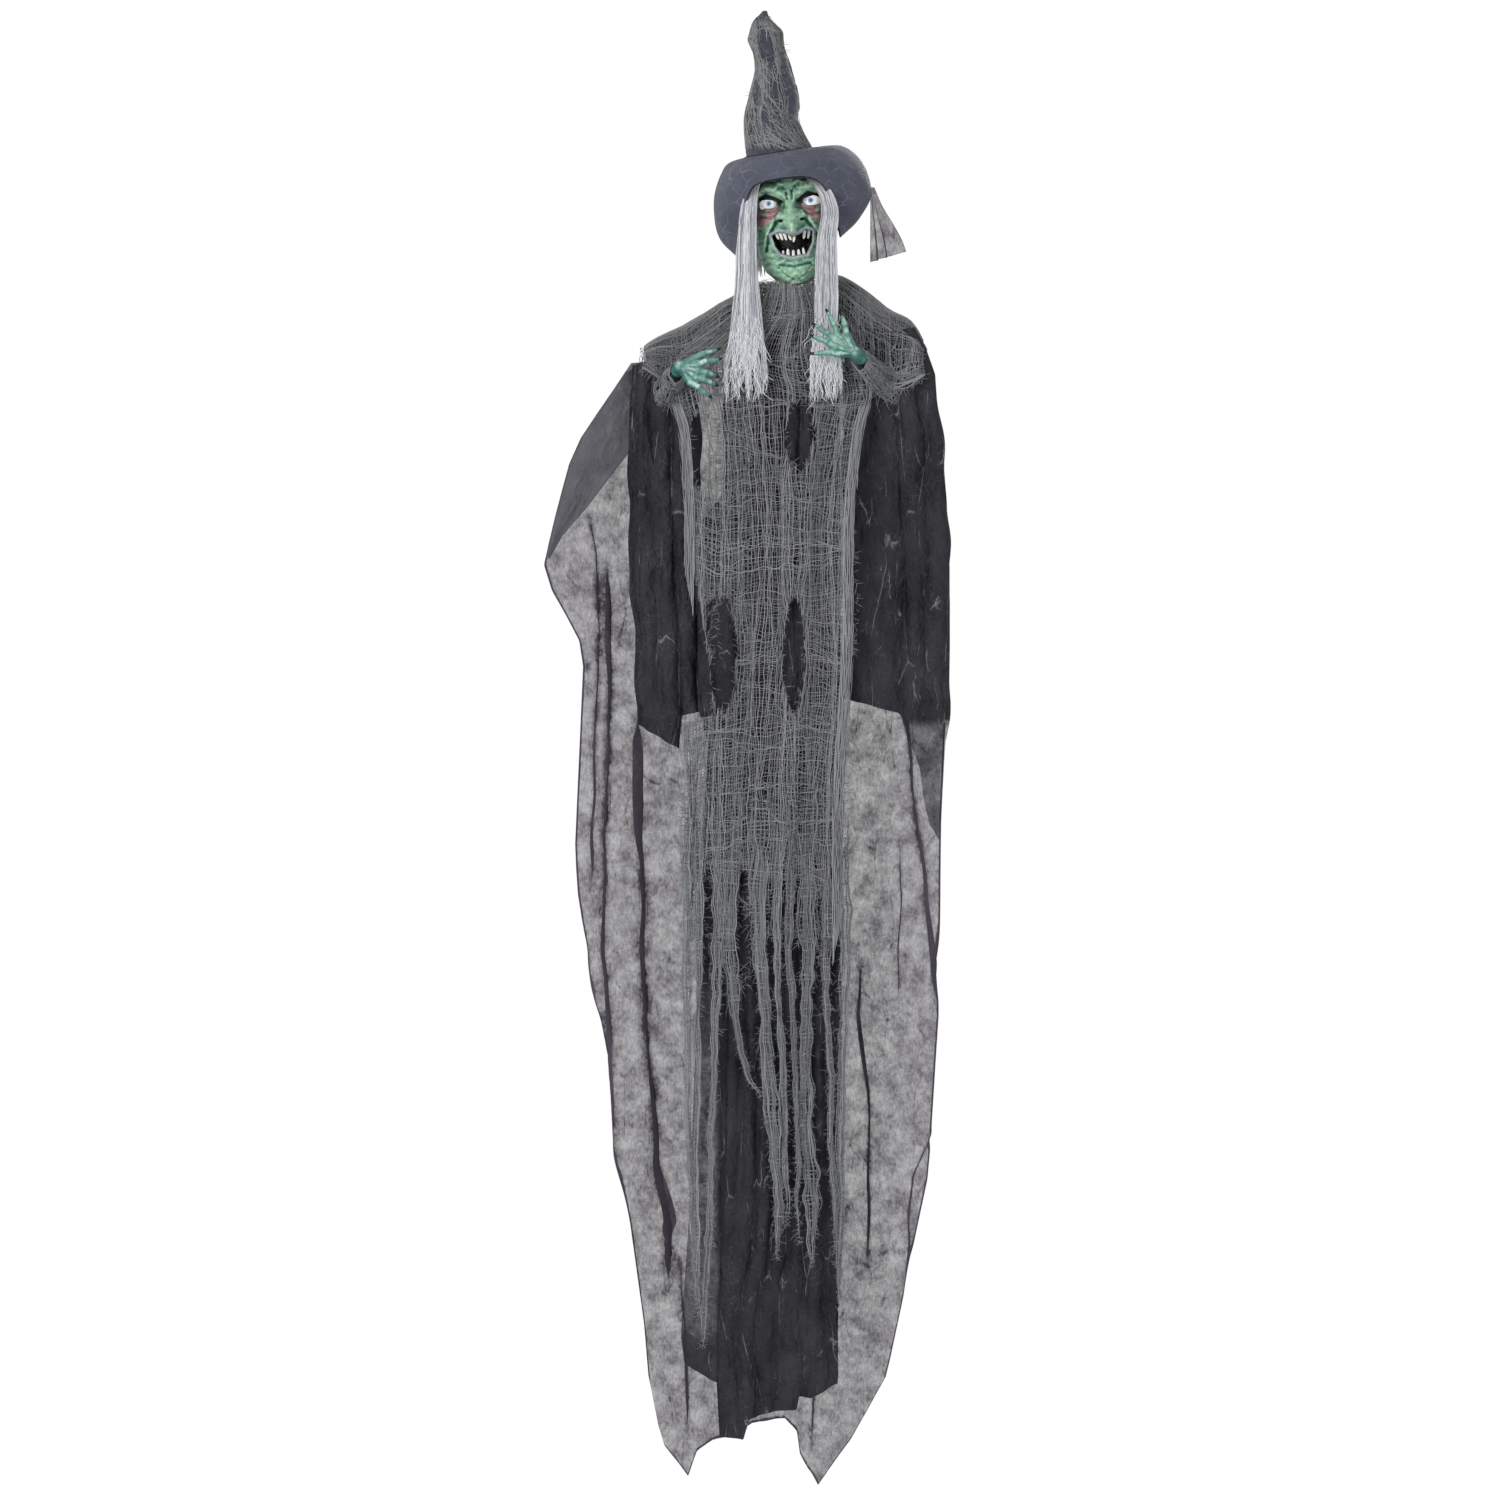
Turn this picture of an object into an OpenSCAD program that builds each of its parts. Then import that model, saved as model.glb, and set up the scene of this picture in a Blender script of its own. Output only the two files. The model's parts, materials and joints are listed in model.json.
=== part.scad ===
// Hanging animated witch figure, 7 ft (2.13 m) from hat tip to robe tails.
// Origin: centre of the hole in the steel hanger plate at the figure's back.
// +Z is up and the figure faces -Y. Left and right are as seen from the front (-X is left).

/* [Frame] */
// Distance from the hanger plate forward to the neck axis
neck_back = 46; // [44:1:52]
// Distance from the centre line to each shoulder pivot
shoulder_x = 180; // [170:1:190]
// Diameter of the hanging hole
hang_hole_d = 10; // [8:0.5:12]
// Thickness of the steel hanger plate
plate_t = 3; // [2:0.5:4]
// Diameter of the neck shaft and of the arm rods
rod_d = 8; // [7:0.5:9]

/* [Mechanism case] */
// Width of the case
case_w = 152; // [146:2:160]
// Depth of the case
case_d = 82.5; // [80:0.5:84]
// Height of the case
case_h = 134; // [132:1:140]
// Wall thickness of the case
wall = 2.5; // [2:0.25:3]

/* [Head] */
// Half width of the head shell
head_w = 56; // [52:1:58]
// Half height of the head shell
head_h = 103; // [98:1:106]
// Sideways lean of the head in degrees
head_lean = -5; // [-7:1:0]
// Sideways offset of the head's centre from the neck axis
head_x = 8; // [4:1:10]
// Diameter of an eyeball
eye_d = 27; // [24:1:29]

/* [Cloth] */
// Thickness of the envelope that each hanging cloth folds within
fold_t = 8; // [5:1:9]
// Height of the lowest robe tail, measured down from the hanging hole
robe_drop = 1717; // [1700:1:1740]

/* [Hidden] */
$fn = 48;
gap = 0.3; // clearance between soft neighbours
run = 0.05; // running clearance on a radius
neck_y = -neck_back;
arm_y = neck_y + 8;
case_top = -38;
case_back_y = -plate_t / 2;
case_front_y = case_back_y - case_d;
case_split_y = neck_y - 12;
case_floor = case_top - case_h;
rod_r = rod_d / 2;
head_z = 125; // height of the head's centre
pivot_z = -82; // height of the shoulder tube's outer end
tube_root = [60, -56]; // where a shoulder tube's axis starts, as x and z
tube_r = 5;
plate_screw_zs = [-50, -64]; // screws that hold the plate to the case
door_rail_zs = [-109.5, -164.3]; // rails that the battery door slides between
speaker_at = [30, -140]; // x and z on the case's front
sensor_at = [-60, -70];
button_at = [-60, -100];
cell_r = 7.1; // AA cell
cell_pitch = 14.8;
elbow_z = -140;
gear_module = 1.5;
neck_teeth = 40;
drive_teeth = 16;
gear_z = -62;
gear_t = 8;
drive_x = -gear_module * (neck_teeth + drive_teeth) / 2;
screw_xs = [-68, 68]; // screws that close the case
screw_zs = [-164, -46];
gauze_y = -112; // front of the gauze layer
robe_y = -99; // front of the black under-robe
sleeve_y = -90; // front of the sleeves
cape_y = 8; // front of the cape at the back
tress_y = -134; // front of the hair where it lies on the chest

black = [0.13, 0.13, 0.15];
sheer = [0.35, 0.34, 0.37];
gauze = [0.47, 0.49, 0.46];
hair = [0.85, 0.85, 0.87];
skin = [0.33, 0.58, 0.42];
steel = [0.7, 0.71, 0.73];

// ---- Shared shapes ----

// Straight round rod between two points
module rod(from, to, r) {
    d = to - from;
    len_d = norm(d);
    translate(from)
        rotate([0, acos(d[2] / len_d), atan2(d[1], d[0])])
            cylinder(h = len_d, r = r);
}

// Faces of a grid of r rows and c columns whose points start at index o; flip turns them over
function grid_faces(r, c, o, flip) = [
    for (i = [0:r - 2], j = [0:c - 2])
        let (tl = o + i * c + j, tr = tl + 1, bl = tl + c, br = bl + 1)
            each flip ? [[tl, br, tr], [tl, bl, br]] : [[tl, tr, br], [tl, br, bl]]
];

// Two triangles from edge a-b of one surface to the same edge of the other, o points further on
function edge_faces(a, b, o) = [[a, b, b + o], [a, b + o, a + o]];

// Closed solid between two grids. The front grid's rows run down and its columns to the right
module slab(front, back) {
    r = len(front);
    c = len(front[0]);
    o = r * c;
    last = (r - 1) * c;
    polyhedron(
        points = concat([for (row = front) each row], [for (row = back) each row]),
        faces = concat(
            grid_faces(r, c, 0, false),
            grid_faces(r, c, o, true),
            [for (j = [0:c - 2]) each edge_faces(j + 1, j, o)],
            [for (j = [0:c - 2]) each edge_faces(last + j, last + j + 1, o)],
            [for (i = [0:r - 2]) each edge_faces(i * c, (i + 1) * c, o)],
            [for (i = [0:r - 2]) each edge_faces((i + 2) * c - 1, (i + 1) * c - 1, o)]));
}

// Closed solid between an outer and an inner set of rings, listed from the top down.
// With a lid, the top rings are each closed; without one, they are joined to each other
module shell(outer, inner, lid) {
    r = len(outer);
    n = len(outer[0]);
    o = r * n;
    last = (r - 1) * n;
    polyhedron(
        points = concat([for (row = outer) each row], [for (row = inner) each row]),
        faces = concat(
            [for (i = [0:r - 2], j = [0:n - 1])
                let (a = i * n + j, b = i * n + (j + 1) % n)
                    each [[a, b, b + n], [a, b + n, a + n], [o + a, o + b + n, o + b],
                        [o + a, o + a + n, o + b + n]]],
            [for (j = [0:n - 1]) each edge_faces(last + j, last + (j + 1) % n, o)],
            lid ? [[for (j = [n - 1:-1:0]) j], [for (j = [0:n - 1]) o + j]]
                : [for (j = [0:n - 1]) each edge_faces((j + 1) % n, j, o)]));
}

// Upright cloth panel: left and right give each edge's x at a height, and depth its front
module panel(top, bottom, rows, cols, left, right, depth, t = fold_t) {
    front = [for (i = [0:rows])
        let (z = top + (bottom - top) * i / rows, a = lookup(z, left), b = lookup(z, right))
            [for (j = [0:cols]) let (x = a + (b - a) * j / cols) [x, depth(x), z]]];
    slab(front, [for (row = front) [for (p = row) p + [0, t, 0]]]);
}

// Closed tube along points, with a solder blob or clip at each bend
module wire(points, r) {
    for (i = [0:len(points) - 2]) rod(points[i], points[i + 1], r);
    for (p = points) translate(p) sphere(r * 1.4, $fn = 16);
}

// ---- Hanger and mechanism case ----

module hanger_plate() {
    color(steel)
    difference() {
        union() {
            translate([-14, -plate_t / 2, -72]) cube([28, plate_t, 72]);
            rotate([90, 0, 0]) cylinder(h = plate_t, r = 14, center = true);
        }
        rotate([90, 0, 0]) cylinder(h = plate_t + 1, d = hang_hole_d, center = true);
        for (z = plate_screw_zs)
            translate([0, 0, z]) rotate([90, 0, 0]) cylinder(h = plate_t + 1, r = 2.2, center = true);
    }
}

// Pan-head screw with its head towards -Z
module screw(r, length, head_r, head_t) {
    cylinder(h = length, r = r);
    translate([0, 0, -head_t]) cylinder(h = head_t, r = head_r);
}

module hanger_screws() {
    color(steel)
    for (z = plate_screw_zs)
        translate([0, plate_t / 2, z]) rotate([90, 0, 0]) screw(1.9, 12, 3.6, 2);
}

module box(x0, x1, y0, y1, z0, z1) {
    translate([x0, y0, z0]) cube([x1 - x0, y1 - y0, z1 - z0]);
}

module case_back() {
    w = case_w / 2;
    color([0.2, 0.2, 0.22])
    difference() {
        union() {
            difference() {
                box(-w, w, case_split_y, case_back_y, case_floor, case_top);
                box(-w + wall, w - wall, case_split_y - 1, case_back_y - wall,
                    case_floor + wall, case_top - wall);
            }
            box(-20, 20, case_split_y, case_back_y - wall, -96, -92);
            for (z = plate_screw_zs)
                translate([0, case_back_y - wall, z]) rotate([90, 0, 0]) cylinder(h = 10, r = 4);
            for (x = screw_xs, z = screw_zs)
                translate([x, case_split_y, z]) rotate([-90, 0, 0])
                    cylinder(h = case_back_y - wall - case_split_y, r = 4);
            for (side = [-1, 1]) rod(tube_point(side, 60), tube_point(side, 75), tube_r + 3);
            for (z = door_rail_zs) {
                box(-36, w, case_back_y + 2.5, case_back_y + 4, z, z + 3.8);
                box(-36, w, case_back_y, case_back_y + 4, z < -130 ? z : z + 1.8,
                    z < -130 ? z + 2 : z + 3.8);
            }
        }
        for (x = screw_xs, z = screw_zs)
            translate([x, case_split_y - 1, z]) rotate([-90, 0, 0]) cylinder(h = 7, r = 1.5);
        translate([0, neck_y, case_top - wall - 1]) cylinder(h = wall + 2, r = 8);
        translate([0, neck_y, -97]) cylinder(h = 6, r = 7);
        for (z = plate_screw_zs)
            translate([0, case_back_y + 1, z]) rotate([90, 0, 0]) cylinder(h = 16, r = 1.9);
        for (side = [-1, 1])
            rod(tube_point(side, 60), tube_point(side, shoulder_x), tube_r);
        box(-30, 30, case_back_y - wall - 1, case_back_y + 1, -158, -112);
        box(-62, -46, -32, -26, case_floor - 1, case_floor + wall + 1);
    }
}

module case_front() {
    w = case_w / 2;
    color([0.2, 0.2, 0.22])
    difference() {
        union() {
            difference() {
                box(-w, w, case_front_y, case_split_y - 0.1, case_floor, case_top);
                box(-w + wall, w - wall, case_front_y + wall, case_split_y + 1,
                    case_floor + wall, case_top - wall);
            }
            for (x = screw_xs, z = screw_zs)
                translate([x, case_front_y + wall, z]) rotate([-90, 0, 0])
                    cylinder(h = case_split_y - 0.1 - case_front_y - wall, r = 4);
        }
        for (x = screw_xs, z = screw_zs)
            translate([x, case_front_y - 1, z]) rotate([-90, 0, 0]) cylinder(h = 40, r = 1.7);
        for (ring = [1:2], k = [0:6 * ring - 1])
            translate([speaker_at[0], case_front_y, speaker_at[1]])
                rotate([90, 360 * k / (6 * ring), 0])
                    translate([9 * ring, 0, 0]) cylinder(h = 8, r = 1.8, center = true);
        for (hole = [[sensor_at, 8.2], [button_at, 5.3]])
            translate([hole[0][0], case_front_y, hole[0][1]])
                rotate([90, 0, 0]) cylinder(h = 8, r = hole[1], center = true);
    }
}

module case_screws() {
    color(steel)
    for (x = screw_xs, z = screw_zs)
        translate([x, case_front_y, z]) rotate([-90, 0, 0]) screw(1.5, 30, 2.8, 1.6);
}

module batteries() {
    color([0.75, 0.6, 0.2])
    for (k = [0:2])
        translate([-25, -12.5, -120 - cell_pitch * k]) rotate([0, 90, 0]) {
            cylinder(h = 49, r = cell_r);
            translate([0, 0, 49]) cylinder(h = 1.2, r = 2.6);
        }
}

module battery_door() {
    color([0.22, 0.22, 0.24])
    union() {
        box(-33, 33, case_back_y + 0.2, case_back_y + 2.2, -162, -108);
        for (z = [-158:3:-149]) box(-12, 12, case_back_y + 2.2, case_back_y + 3.4, z, z + 1.2);
    }
}

module gear_motor() {
    color(steel)
    translate([drive_x, neck_y, -120]) {
        cylinder(h = 33.8, r = 12);
        translate([0, 0, -3]) cylinder(h = 3, r = 4);
    }
}

module motor_gearbox() {
    color([0.6, 0.6, 0.62])
    translate([drive_x, neck_y, -86])
        difference() {
            cylinder(h = 20, r = 12.5);
            translate([0, 0, 4]) cylinder(h = 17, r = 2 + run);
        }
}

module flanged_bush(body_r, flange_r, body_h, flange_h) {
    difference() {
        union() {
            cylinder(h = body_h, r = body_r);
            translate([0, 0, body_h]) cylinder(h = flange_h, r = flange_r);
        }
        translate([0, 0, -1]) cylinder(h = body_h + flange_h + 2, r = rod_r + run);
    }
}

module neck_bushes() {
    color([0.72, 0.55, 0.25]) {
        translate([0, neck_y, case_top - wall]) flanged_bush(8, 11, wall, 2);
        translate([0, neck_y, -96]) flanged_bush(7, 9, 4, 1.5);
    }
}

module speaker() {
    color([0.1, 0.1, 0.1])
    translate([speaker_at[0], case_front_y + wall + gap, speaker_at[1]]) rotate([-90, 0, 0]) {
        difference() {
            cylinder(h = 6, r = 26);
            translate([0, 0, -1]) cylinder(h = 5, r = 22);
        }
        translate([0, 0, 6]) cylinder(h = 8, r = 12);
    }
}

module circuit_board() {
    color([0.1, 0.4, 0.2]) {
        box(-62, -8, -72, -70.4, -166, -128);
        for (chip = [[-58, -150, 14], [-38, -150, 8], [-24, -140, 6]])
            box(chip[0], chip[0] + chip[2], -70.4, -68, chip[1], chip[1] + chip[2] * 0.7);
    }
}

module motion_sensor() {
    color([0.9, 0.9, 0.92])
    translate([sensor_at[0], case_front_y, sensor_at[1]]) rotate([90, 0, 0]) {
        intersection() {
            translate([0, 0, -7]) sphere(11);
            cylinder(h = 5, r = 8);
        }
        translate([0, 0, -8]) cylinder(h = 8, r = 8);
    }
}

module power_switch_knob() {
    color([0.8, 0.1, 0.1])
    union() {
        box(-61, -54, -31, -27, case_floor - 3.5, case_floor + wall + 0.5);
        box(-64, -51, -33, -25, case_floor + wall + 0.5, case_floor + wall + 2);
    }
}

module test_button() {
    color([0.8, 0.1, 0.1])
    translate([button_at[0], case_front_y, button_at[1]]) rotate([90, 0, 0]) {
        translate([0, 0, -6]) cylinder(h = 9, r = 5);
        translate([0, 0, -7.5]) cylinder(h = 2, r = 7);
    }
}

module wire_harness() {
    color([0.7, 0.1, 0.1]) {
        wire([[drive_x, -56, -127], [-30, -62, -128], [-20, -67, -134]], 0.8);
        wire([[27, -20, -152], [10, -40, -158], [-10, -67, -158]], 0.8);
        wire([[24, -66, -150], [6, -66, -162], [-8, -67.2, -162]], 0.8);
    }
}

// ---- Shoulders, arms and hands ----

// Point of a shoulder tube's sloping axis at distance x from the centre line
function tube_point(side, x) =
    let (share = (x - tube_root[0]) / (shoulder_x - tube_root[0]))
    [side * x, arm_y, tube_root[1] + (pivot_z - tube_root[1]) * share];

module shoulder_tube(side) {
    color(steel)
    rod(tube_point(side, 66), tube_point(side, shoulder_x - 8), tube_r);
}

module shoulder_block(side) {
    color([0.25, 0.25, 0.27])
    difference() {
        union() {
            translate([side * shoulder_x, arm_y, pivot_z - 14]) cylinder(h = 28, r = 11);
            rod(tube_point(side, shoulder_x - 24), tube_point(side, shoulder_x - 4), tube_r + 4);
        }
        translate([side * shoulder_x, arm_y, pivot_z - 15]) cylinder(h = 30, r = rod_r + run);
        rod(tube_point(side, 66), tube_point(side, shoulder_x - 8), tube_r);
    }
}

// Each arm's wrist, and the way its hand points
wrist_left = [-155, -141, -104];
wrist_right = [109, -141, -86];
function elbow(side) = [side * shoulder_x, arm_y, elbow_z];
function toward(from, to, length) = from + (to - from) / norm(to - from) * length;

module arm_rod(side, wrist) {
    bend = elbow(side);
    span = norm(wrist - bend);
    color(steel)
    union() {
        translate([side * shoulder_x, arm_y, elbow_z]) cylinder(h = pivot_z + 14.4 - elbow_z, r = rod_r);
        translate([side * shoulder_x, arm_y, pivot_z + 14.4]) cylinder(h = 5, r = 7);
        translate([side * shoulder_x, arm_y, pivot_z - 19.4]) cylinder(h = 5, r = 7);
        translate(bend) sphere(rod_r + 1.5);
        rod(bend, toward(bend, wrist, span), rod_r);
        rod(bend, toward(bend, wrist, span + 12), 3);
    }
}

// Gauze wound round the forearm and hanging below it
module arm_gauze(side, wrist) {
    bend = elbow(side);
    span = norm(wrist - bend);
    from = toward(bend, wrist, 30);
    to = toward(bend, wrist, span - 6);
    color(gauze)
    difference() {
        rod(from, to, 15);
        rod(bend, wrist, rod_r);
    }
}

module digit(a, b, c, r) {
    hull() {
        translate(a) sphere(r, $fn = 14);
        translate(b) sphere(r * 0.9, $fn = 14);
        translate(c) sphere(r * 0.55, $fn = 14);
    }
}

// Hand with a bored wrist cuff. knuckles and tips list the five digits
module hand(side, wrist, knuckles, tips) {
    bend = elbow(side);
    span = norm(wrist - bend);
    cuff_from = toward(bend, wrist, span + 0.6);
    cuff_to = toward(bend, wrist, span + 15);
    color(skin)
    difference() {
        union() {
            rod(cuff_from, cuff_to, 9);
            hull() {
                translate(toward(bend, wrist, span + 17)) sphere(8, $fn = 14);
                for (k = knuckles) translate(k) sphere(5, $fn = 14);
            }
            for (k = [0:4])
                digit(knuckles[k], (knuckles[k] + tips[k]) / 2 + [0, -5, 0], tips[k], 4.6);
        }
        rod(bend, toward(bend, wrist, span + 12.5), 3 + run);
    }
}

knuckles_left = [[-133, -158, -88], [-128, -161, -97], [-126, -161, -106], [-129, -160, -115],
    [-137, -158, -122]];
tips_left = [[-97, -148, -74], [-95, -148, -88], [-99, -148, -112], [-100, -148, -125],
    [-109, -148, -141]];
knuckles_right = [[88, -157, -50], [76, -161, -53], [72, -162, -62], [72, -161, -71],
    [78, -158, -81]];
tips_right = [[82, -150, -25], [61, -150, -20], [43, -150, -39], [40, -150, -55], [41, -150, -80]];

// ---- Neck and head ----

module neck_collar() {
    color(black)
    translate([0, neck_y, case_top])
        difference() {
            cylinder(h = 44, r = 36);
            translate([0, 0, -1]) cylinder(h = 46, r = 32);
        }
}

module neck_wrap() {
    color(gauze)
    translate([0, neck_y, case_top + gap])
        difference() {
            cylinder(h = 50, r = 42);
            translate([0, 0, -1]) cylinder(h = 52, r = 36 + gap);
        }
}

module neck_shaft() {
    color(steel)
    translate([0, neck_y, -100]) {
        cylinder(h = 186, r = rod_r);
        cylinder(h = 3.5, r = 6);
    }
}

// Involute tooth outline of a spur gear, as [x, y] points; slack thins each tooth
function involute(base, a) = base * [cos(a) + a * PI / 180 * sin(a), sin(a) - a * PI / 180 * cos(a)];
function turned(p, a) = [p[0] * cos(a) - p[1] * sin(a), p[0] * sin(a) + p[1] * cos(a)];
function gear_outline(teeth, slack) =
    let (pitch = gear_module * teeth / 2, base = pitch * cos(20), tip = pitch + gear_module,
        root = pitch - 1.25 * gear_module,
        a_tip = sqrt(pow(tip / base, 2) - 1) * 180 / PI,
        inv20 = tan(20) * 180 / PI - 20,
        half = 90 / teeth + inv20 - slack / pitch * 90 / PI)
    [for (k = [0:teeth - 1])
        let (mid = 360 * k / teeth)
            each concat(
                [root * [cos(mid - half - 1), sin(mid - half - 1)]],
                [for (s = [0:5]) turned(involute(base, a_tip * s / 5), mid - half)],
                [for (s = [5:-1:0])
                    let (q = involute(base, a_tip * s / 5)) turned([q[0], -q[1]], mid + half)],
                [root * [cos(mid + half + 1), sin(mid + half + 1)]])];

module neck_gear() {
    color([0.85, 0.85, 0.8])
    translate([0, neck_y, gear_z])
        difference() {
            union() {
                linear_extrude(gear_t) polygon(gear_outline(neck_teeth, 0.12));
                translate([0, 0, gear_t]) cylinder(h = 6, r = 10);
            }
            translate([0, 0, -1]) cylinder(h = 20, r = rod_r);
        }
}

module drive_gear() {
    color([0.85, 0.85, 0.8])
    translate([drive_x, neck_y, gear_z]) {
        rotate([0, 0, 180 / drive_teeth])
            linear_extrude(gear_t) polygon(gear_outline(drive_teeth, 0.12));
        translate([0, 0, -19]) cylinder(h = 19 + gear_t + 3, r = 2);
    }
}

// Everything in the head is drawn about the head's centre and leans with it
module in_head() {
    translate([head_x, neck_y, head_z]) rotate([0, head_lean, 0]) children();
}

// Cuts the hole that the neck shaft comes up through
module with_neck_hole() {
    difference() {
        children();
        translate([0, neck_y, 10]) cylinder(h = 40, r = 14);
    }
}

// Half width and half depth of the head at height z above its centre
function head_half(z) = head_w / 56 * lookup(z, [[-103, 12], [-96, 27], [-82, 41], [-70, 46],
    [-52, 50], [-10, 55], [35, 56], [65, 50], [88, 36], [98, 20], [103, 6]]);
function face_depth(z) = lookup(z, [[-103, 46], [-90, 58], [-70, 58], [-40, 62], [0, 60],
    [40, 62], [70, 54], [90, 36], [103, 6]]);
function back_depth(z) = lookup(z, [[-103, 8], [-80, 40], [-40, 62], [20, 70], [60, 62],
    [88, 40], [103, 6]]);
function nose(x, z) = 34 * exp(-pow(x / 11, 2))
    * lookup(z, [[-30, 0], [-24, 1], [-5, 0.72], [25, 0.1], [35, 0]]);

face_rows = [for (k = [0:14]) head_h - k * 2 * head_h / 14];

// Prism of the mouth's outline, k times its size, between two depths
module mouth_prism(k, y_back, y_front) {
    outline = [[-33, -28], [-14, -31], [14, -31], [33, -28], [26, -50], [14, -62], [-14, -62],
        [-26, -50]];
    centre = [0, -45];
    translate([0, y_back, 0]) rotate([90, 0, 0])
        linear_extrude(y_back - y_front)
            polygon([for (p = outline) centre + k * (p - centre)]);
}

module face_mask() {
    function skin_at(z, t, w, d) =
        let (x = w * cos(t)) [x, -(d * sin(t)) - nose(x, z), z];
    front = [for (z = face_rows)
        [for (k = [0:20]) let (t = 180 - 9 * k) skin_at(z, t, head_half(z), face_depth(z))]];
    back = [for (z = face_rows)
        [for (k = [0:20]) let (t = 180 - 9 * k)
            skin_at(z, t, head_half(z) - 2.5, face_depth(z) - 2.5)]];
    color(skin)
    with_neck_hole() in_head()
        difference() {
            slab(front, back);
            for (x = [-30, 30]) {
                translate([x, -20, 15]) rotate([90, 0, 0]) cylinder(h = 60, r = 11);
                translate([x, -33, 15]) sphere(d = eye_d + 2 * gap);
            }
            mouth_prism(1, -20, -80);
        }
}

module skull_shell() {
    rows = [for (k = [0:10]) head_h - k * 2 * head_h / 10];
    function bone_at(z, t, cut) =
        [(head_half(z) - cut) * cos(t), 0.4 + (back_depth(z) - cut) * sin(t), z];
    color([0.15, 0.15, 0.15])
    with_neck_hole() in_head()
        slab([for (z = rows) [for (k = [0:14]) bone_at(z, 180 * k / 14, 0)]],
            [for (z = rows) [for (k = [0:14]) bone_at(z, 180 * k / 14, 2.5)]]);
}

module head_bracket() {
    color([0.25, 0.25, 0.27])
    translate([0, neck_y, 78])
        difference() {
            union() {
                translate([-34, -8, 0]) cube([91.8, 16, 4]);
                cylinder(h = 12, r = 9);
            }
            translate([0, 0, -1]) cylinder(h = 9.1, r = rod_r);
        }
}

module eye(side) {
    color([0.93, 0.95, 1])
    in_head() translate([side * 30, -33, 15]) sphere(d = eye_d);
}

module eye_leds() {
    color([0.6, 0.8, 1])
    in_head()
        for (x = [-30, 30])
            translate([x, -33 + eye_d / 2 + 9, 15]) rotate([90, 0, 0]) cylinder(h = 8, r = 2.5);
}

module mouth_liner() {
    color([0.12, 0.1, 0.12])
    in_head()
        intersection() {
            translate([0, -8, -80]) cylinder(h = 70, r = 45);
            difference() {
                mouth_prism(1.12, -24, -60);
                mouth_prism(1.02, -26.5, -61);
            }
        }
}

// Teeth stand on an arc just inside the liner's curved rim
function tooth_y(x) = -8 - sqrt(41 * 41 - x * x);

module teeth() {
    color([0.95, 0.95, 0.9])
    in_head() {
        for (x = [-25, -18, -10, -3, 5, 19, 25])
            translate([x, tooth_y(x), -41]) cylinder(h = 11.5, r1 = 1.6, r2 = 2.6, $fn = 24);
        for (x = [-13, -6.5, 0, 6.5, 13])
            translate([x, tooth_y(x), -63]) cylinder(h = 12, r1 = 2.6, r2 = 1.8, $fn = 24);
    }
}

// ---- Hair ----

module upright_slab(xs, top, bottom, front, t) {
    slab([for (z = [top, bottom]) [for (x = xs) [x, front, z]]],
        [for (z = [top, bottom]) [for (x = xs) [x, front + t, z]]]);
}

module hair_side(side) {
    color(hair)
    translate([0, neck_y, 0])
        upright_slab(side < 0 ? [-54, -34] : [44, 57], 160, 42, -66, 15);
}

module hair_back() {
    rows = [160, 125, 85, 48];
    function strand(z, t, r) = [6 + (r - 18) * cos(t), neck_y + 4 + r * sin(t), z];
    color(hair)
    slab([for (z = rows) [for (k = [0:8]) strand(z, 30 + 15 * k, 84)]],
        [for (z = rows) [for (k = [0:8]) strand(z, 30 + 15 * k, 78)]]);
}

module hair_tress(left, right) {
    color(hair)
    panel(38, -150, 6, 2, left, right, function(x) tress_y, 16);
}

// ---- Hat ----

function ring(x, y, z, rx, ry, n) = [for (k = [0:n - 1])
    let (t = 360 * k / n) [x + rx * cos(t), y + ry * sin(t), z]];

// Each step of the crooked cone: centre x, height, half width and half depth
cone_steps = [[-28, 418, 4, 4], [-32, 405, 10, 10], [-26, 390, 19, 18], [-28, 376, 22, 21],
    [-23, 360, 21, 23], [-17, 333, 24, 28], [-15, 302, 31, 36], [-18, 275, 36, 44],
    [-14, 246, 42, 54], [-8, 212, 49, 62]];
cone_wall = 2.5;
cone_facets = 28;

function cone_ring(step, grow, sink = 0) =
    ring(step[0], neck_y, step[1] - sink, step[2] + grow, step[3] + grow, cone_facets);

module hat_crown() {
    color(black)
    shell([for (s = cone_steps) cone_ring(s, 0)],
        [for (s = cone_steps) cone_ring(s, -cone_wall, s == cone_steps[0] ? 3 : 0)],
        true);
}

// Gauze pulled over the cone, open at its tip and its foot
module hat_gauze() {
    steps = [for (s = cone_steps) if (s != cone_steps[0]) s];
    color(gauze)
    shell([for (s = steps) cone_ring(s, gap + 2)], [for (s = steps) cone_ring(s, gap)], false);
}

// The brim's reach and height at each side, by share of its width
brim_x = -8;
brim_top = 211.5;
brim_reach_left = [[0, 51], [0.12, 70], [0.3, 84], [0.6, 95], [0.85, 84], [1, 60]];
brim_height_left = [[0, 211.5], [0.12, 199], [0.3, 182], [0.6, 134], [0.85, 86], [1, 62]];
brim_reach_right = [[0, 51], [0.2, 90], [0.4, 120], [0.58, 132], [0.75, 116], [1, 87]];
brim_height_right = [[0, 211.5], [0.2, 220], [0.4, 196], [0.58, 153], [0.75, 120], [1, 90]];

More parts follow.
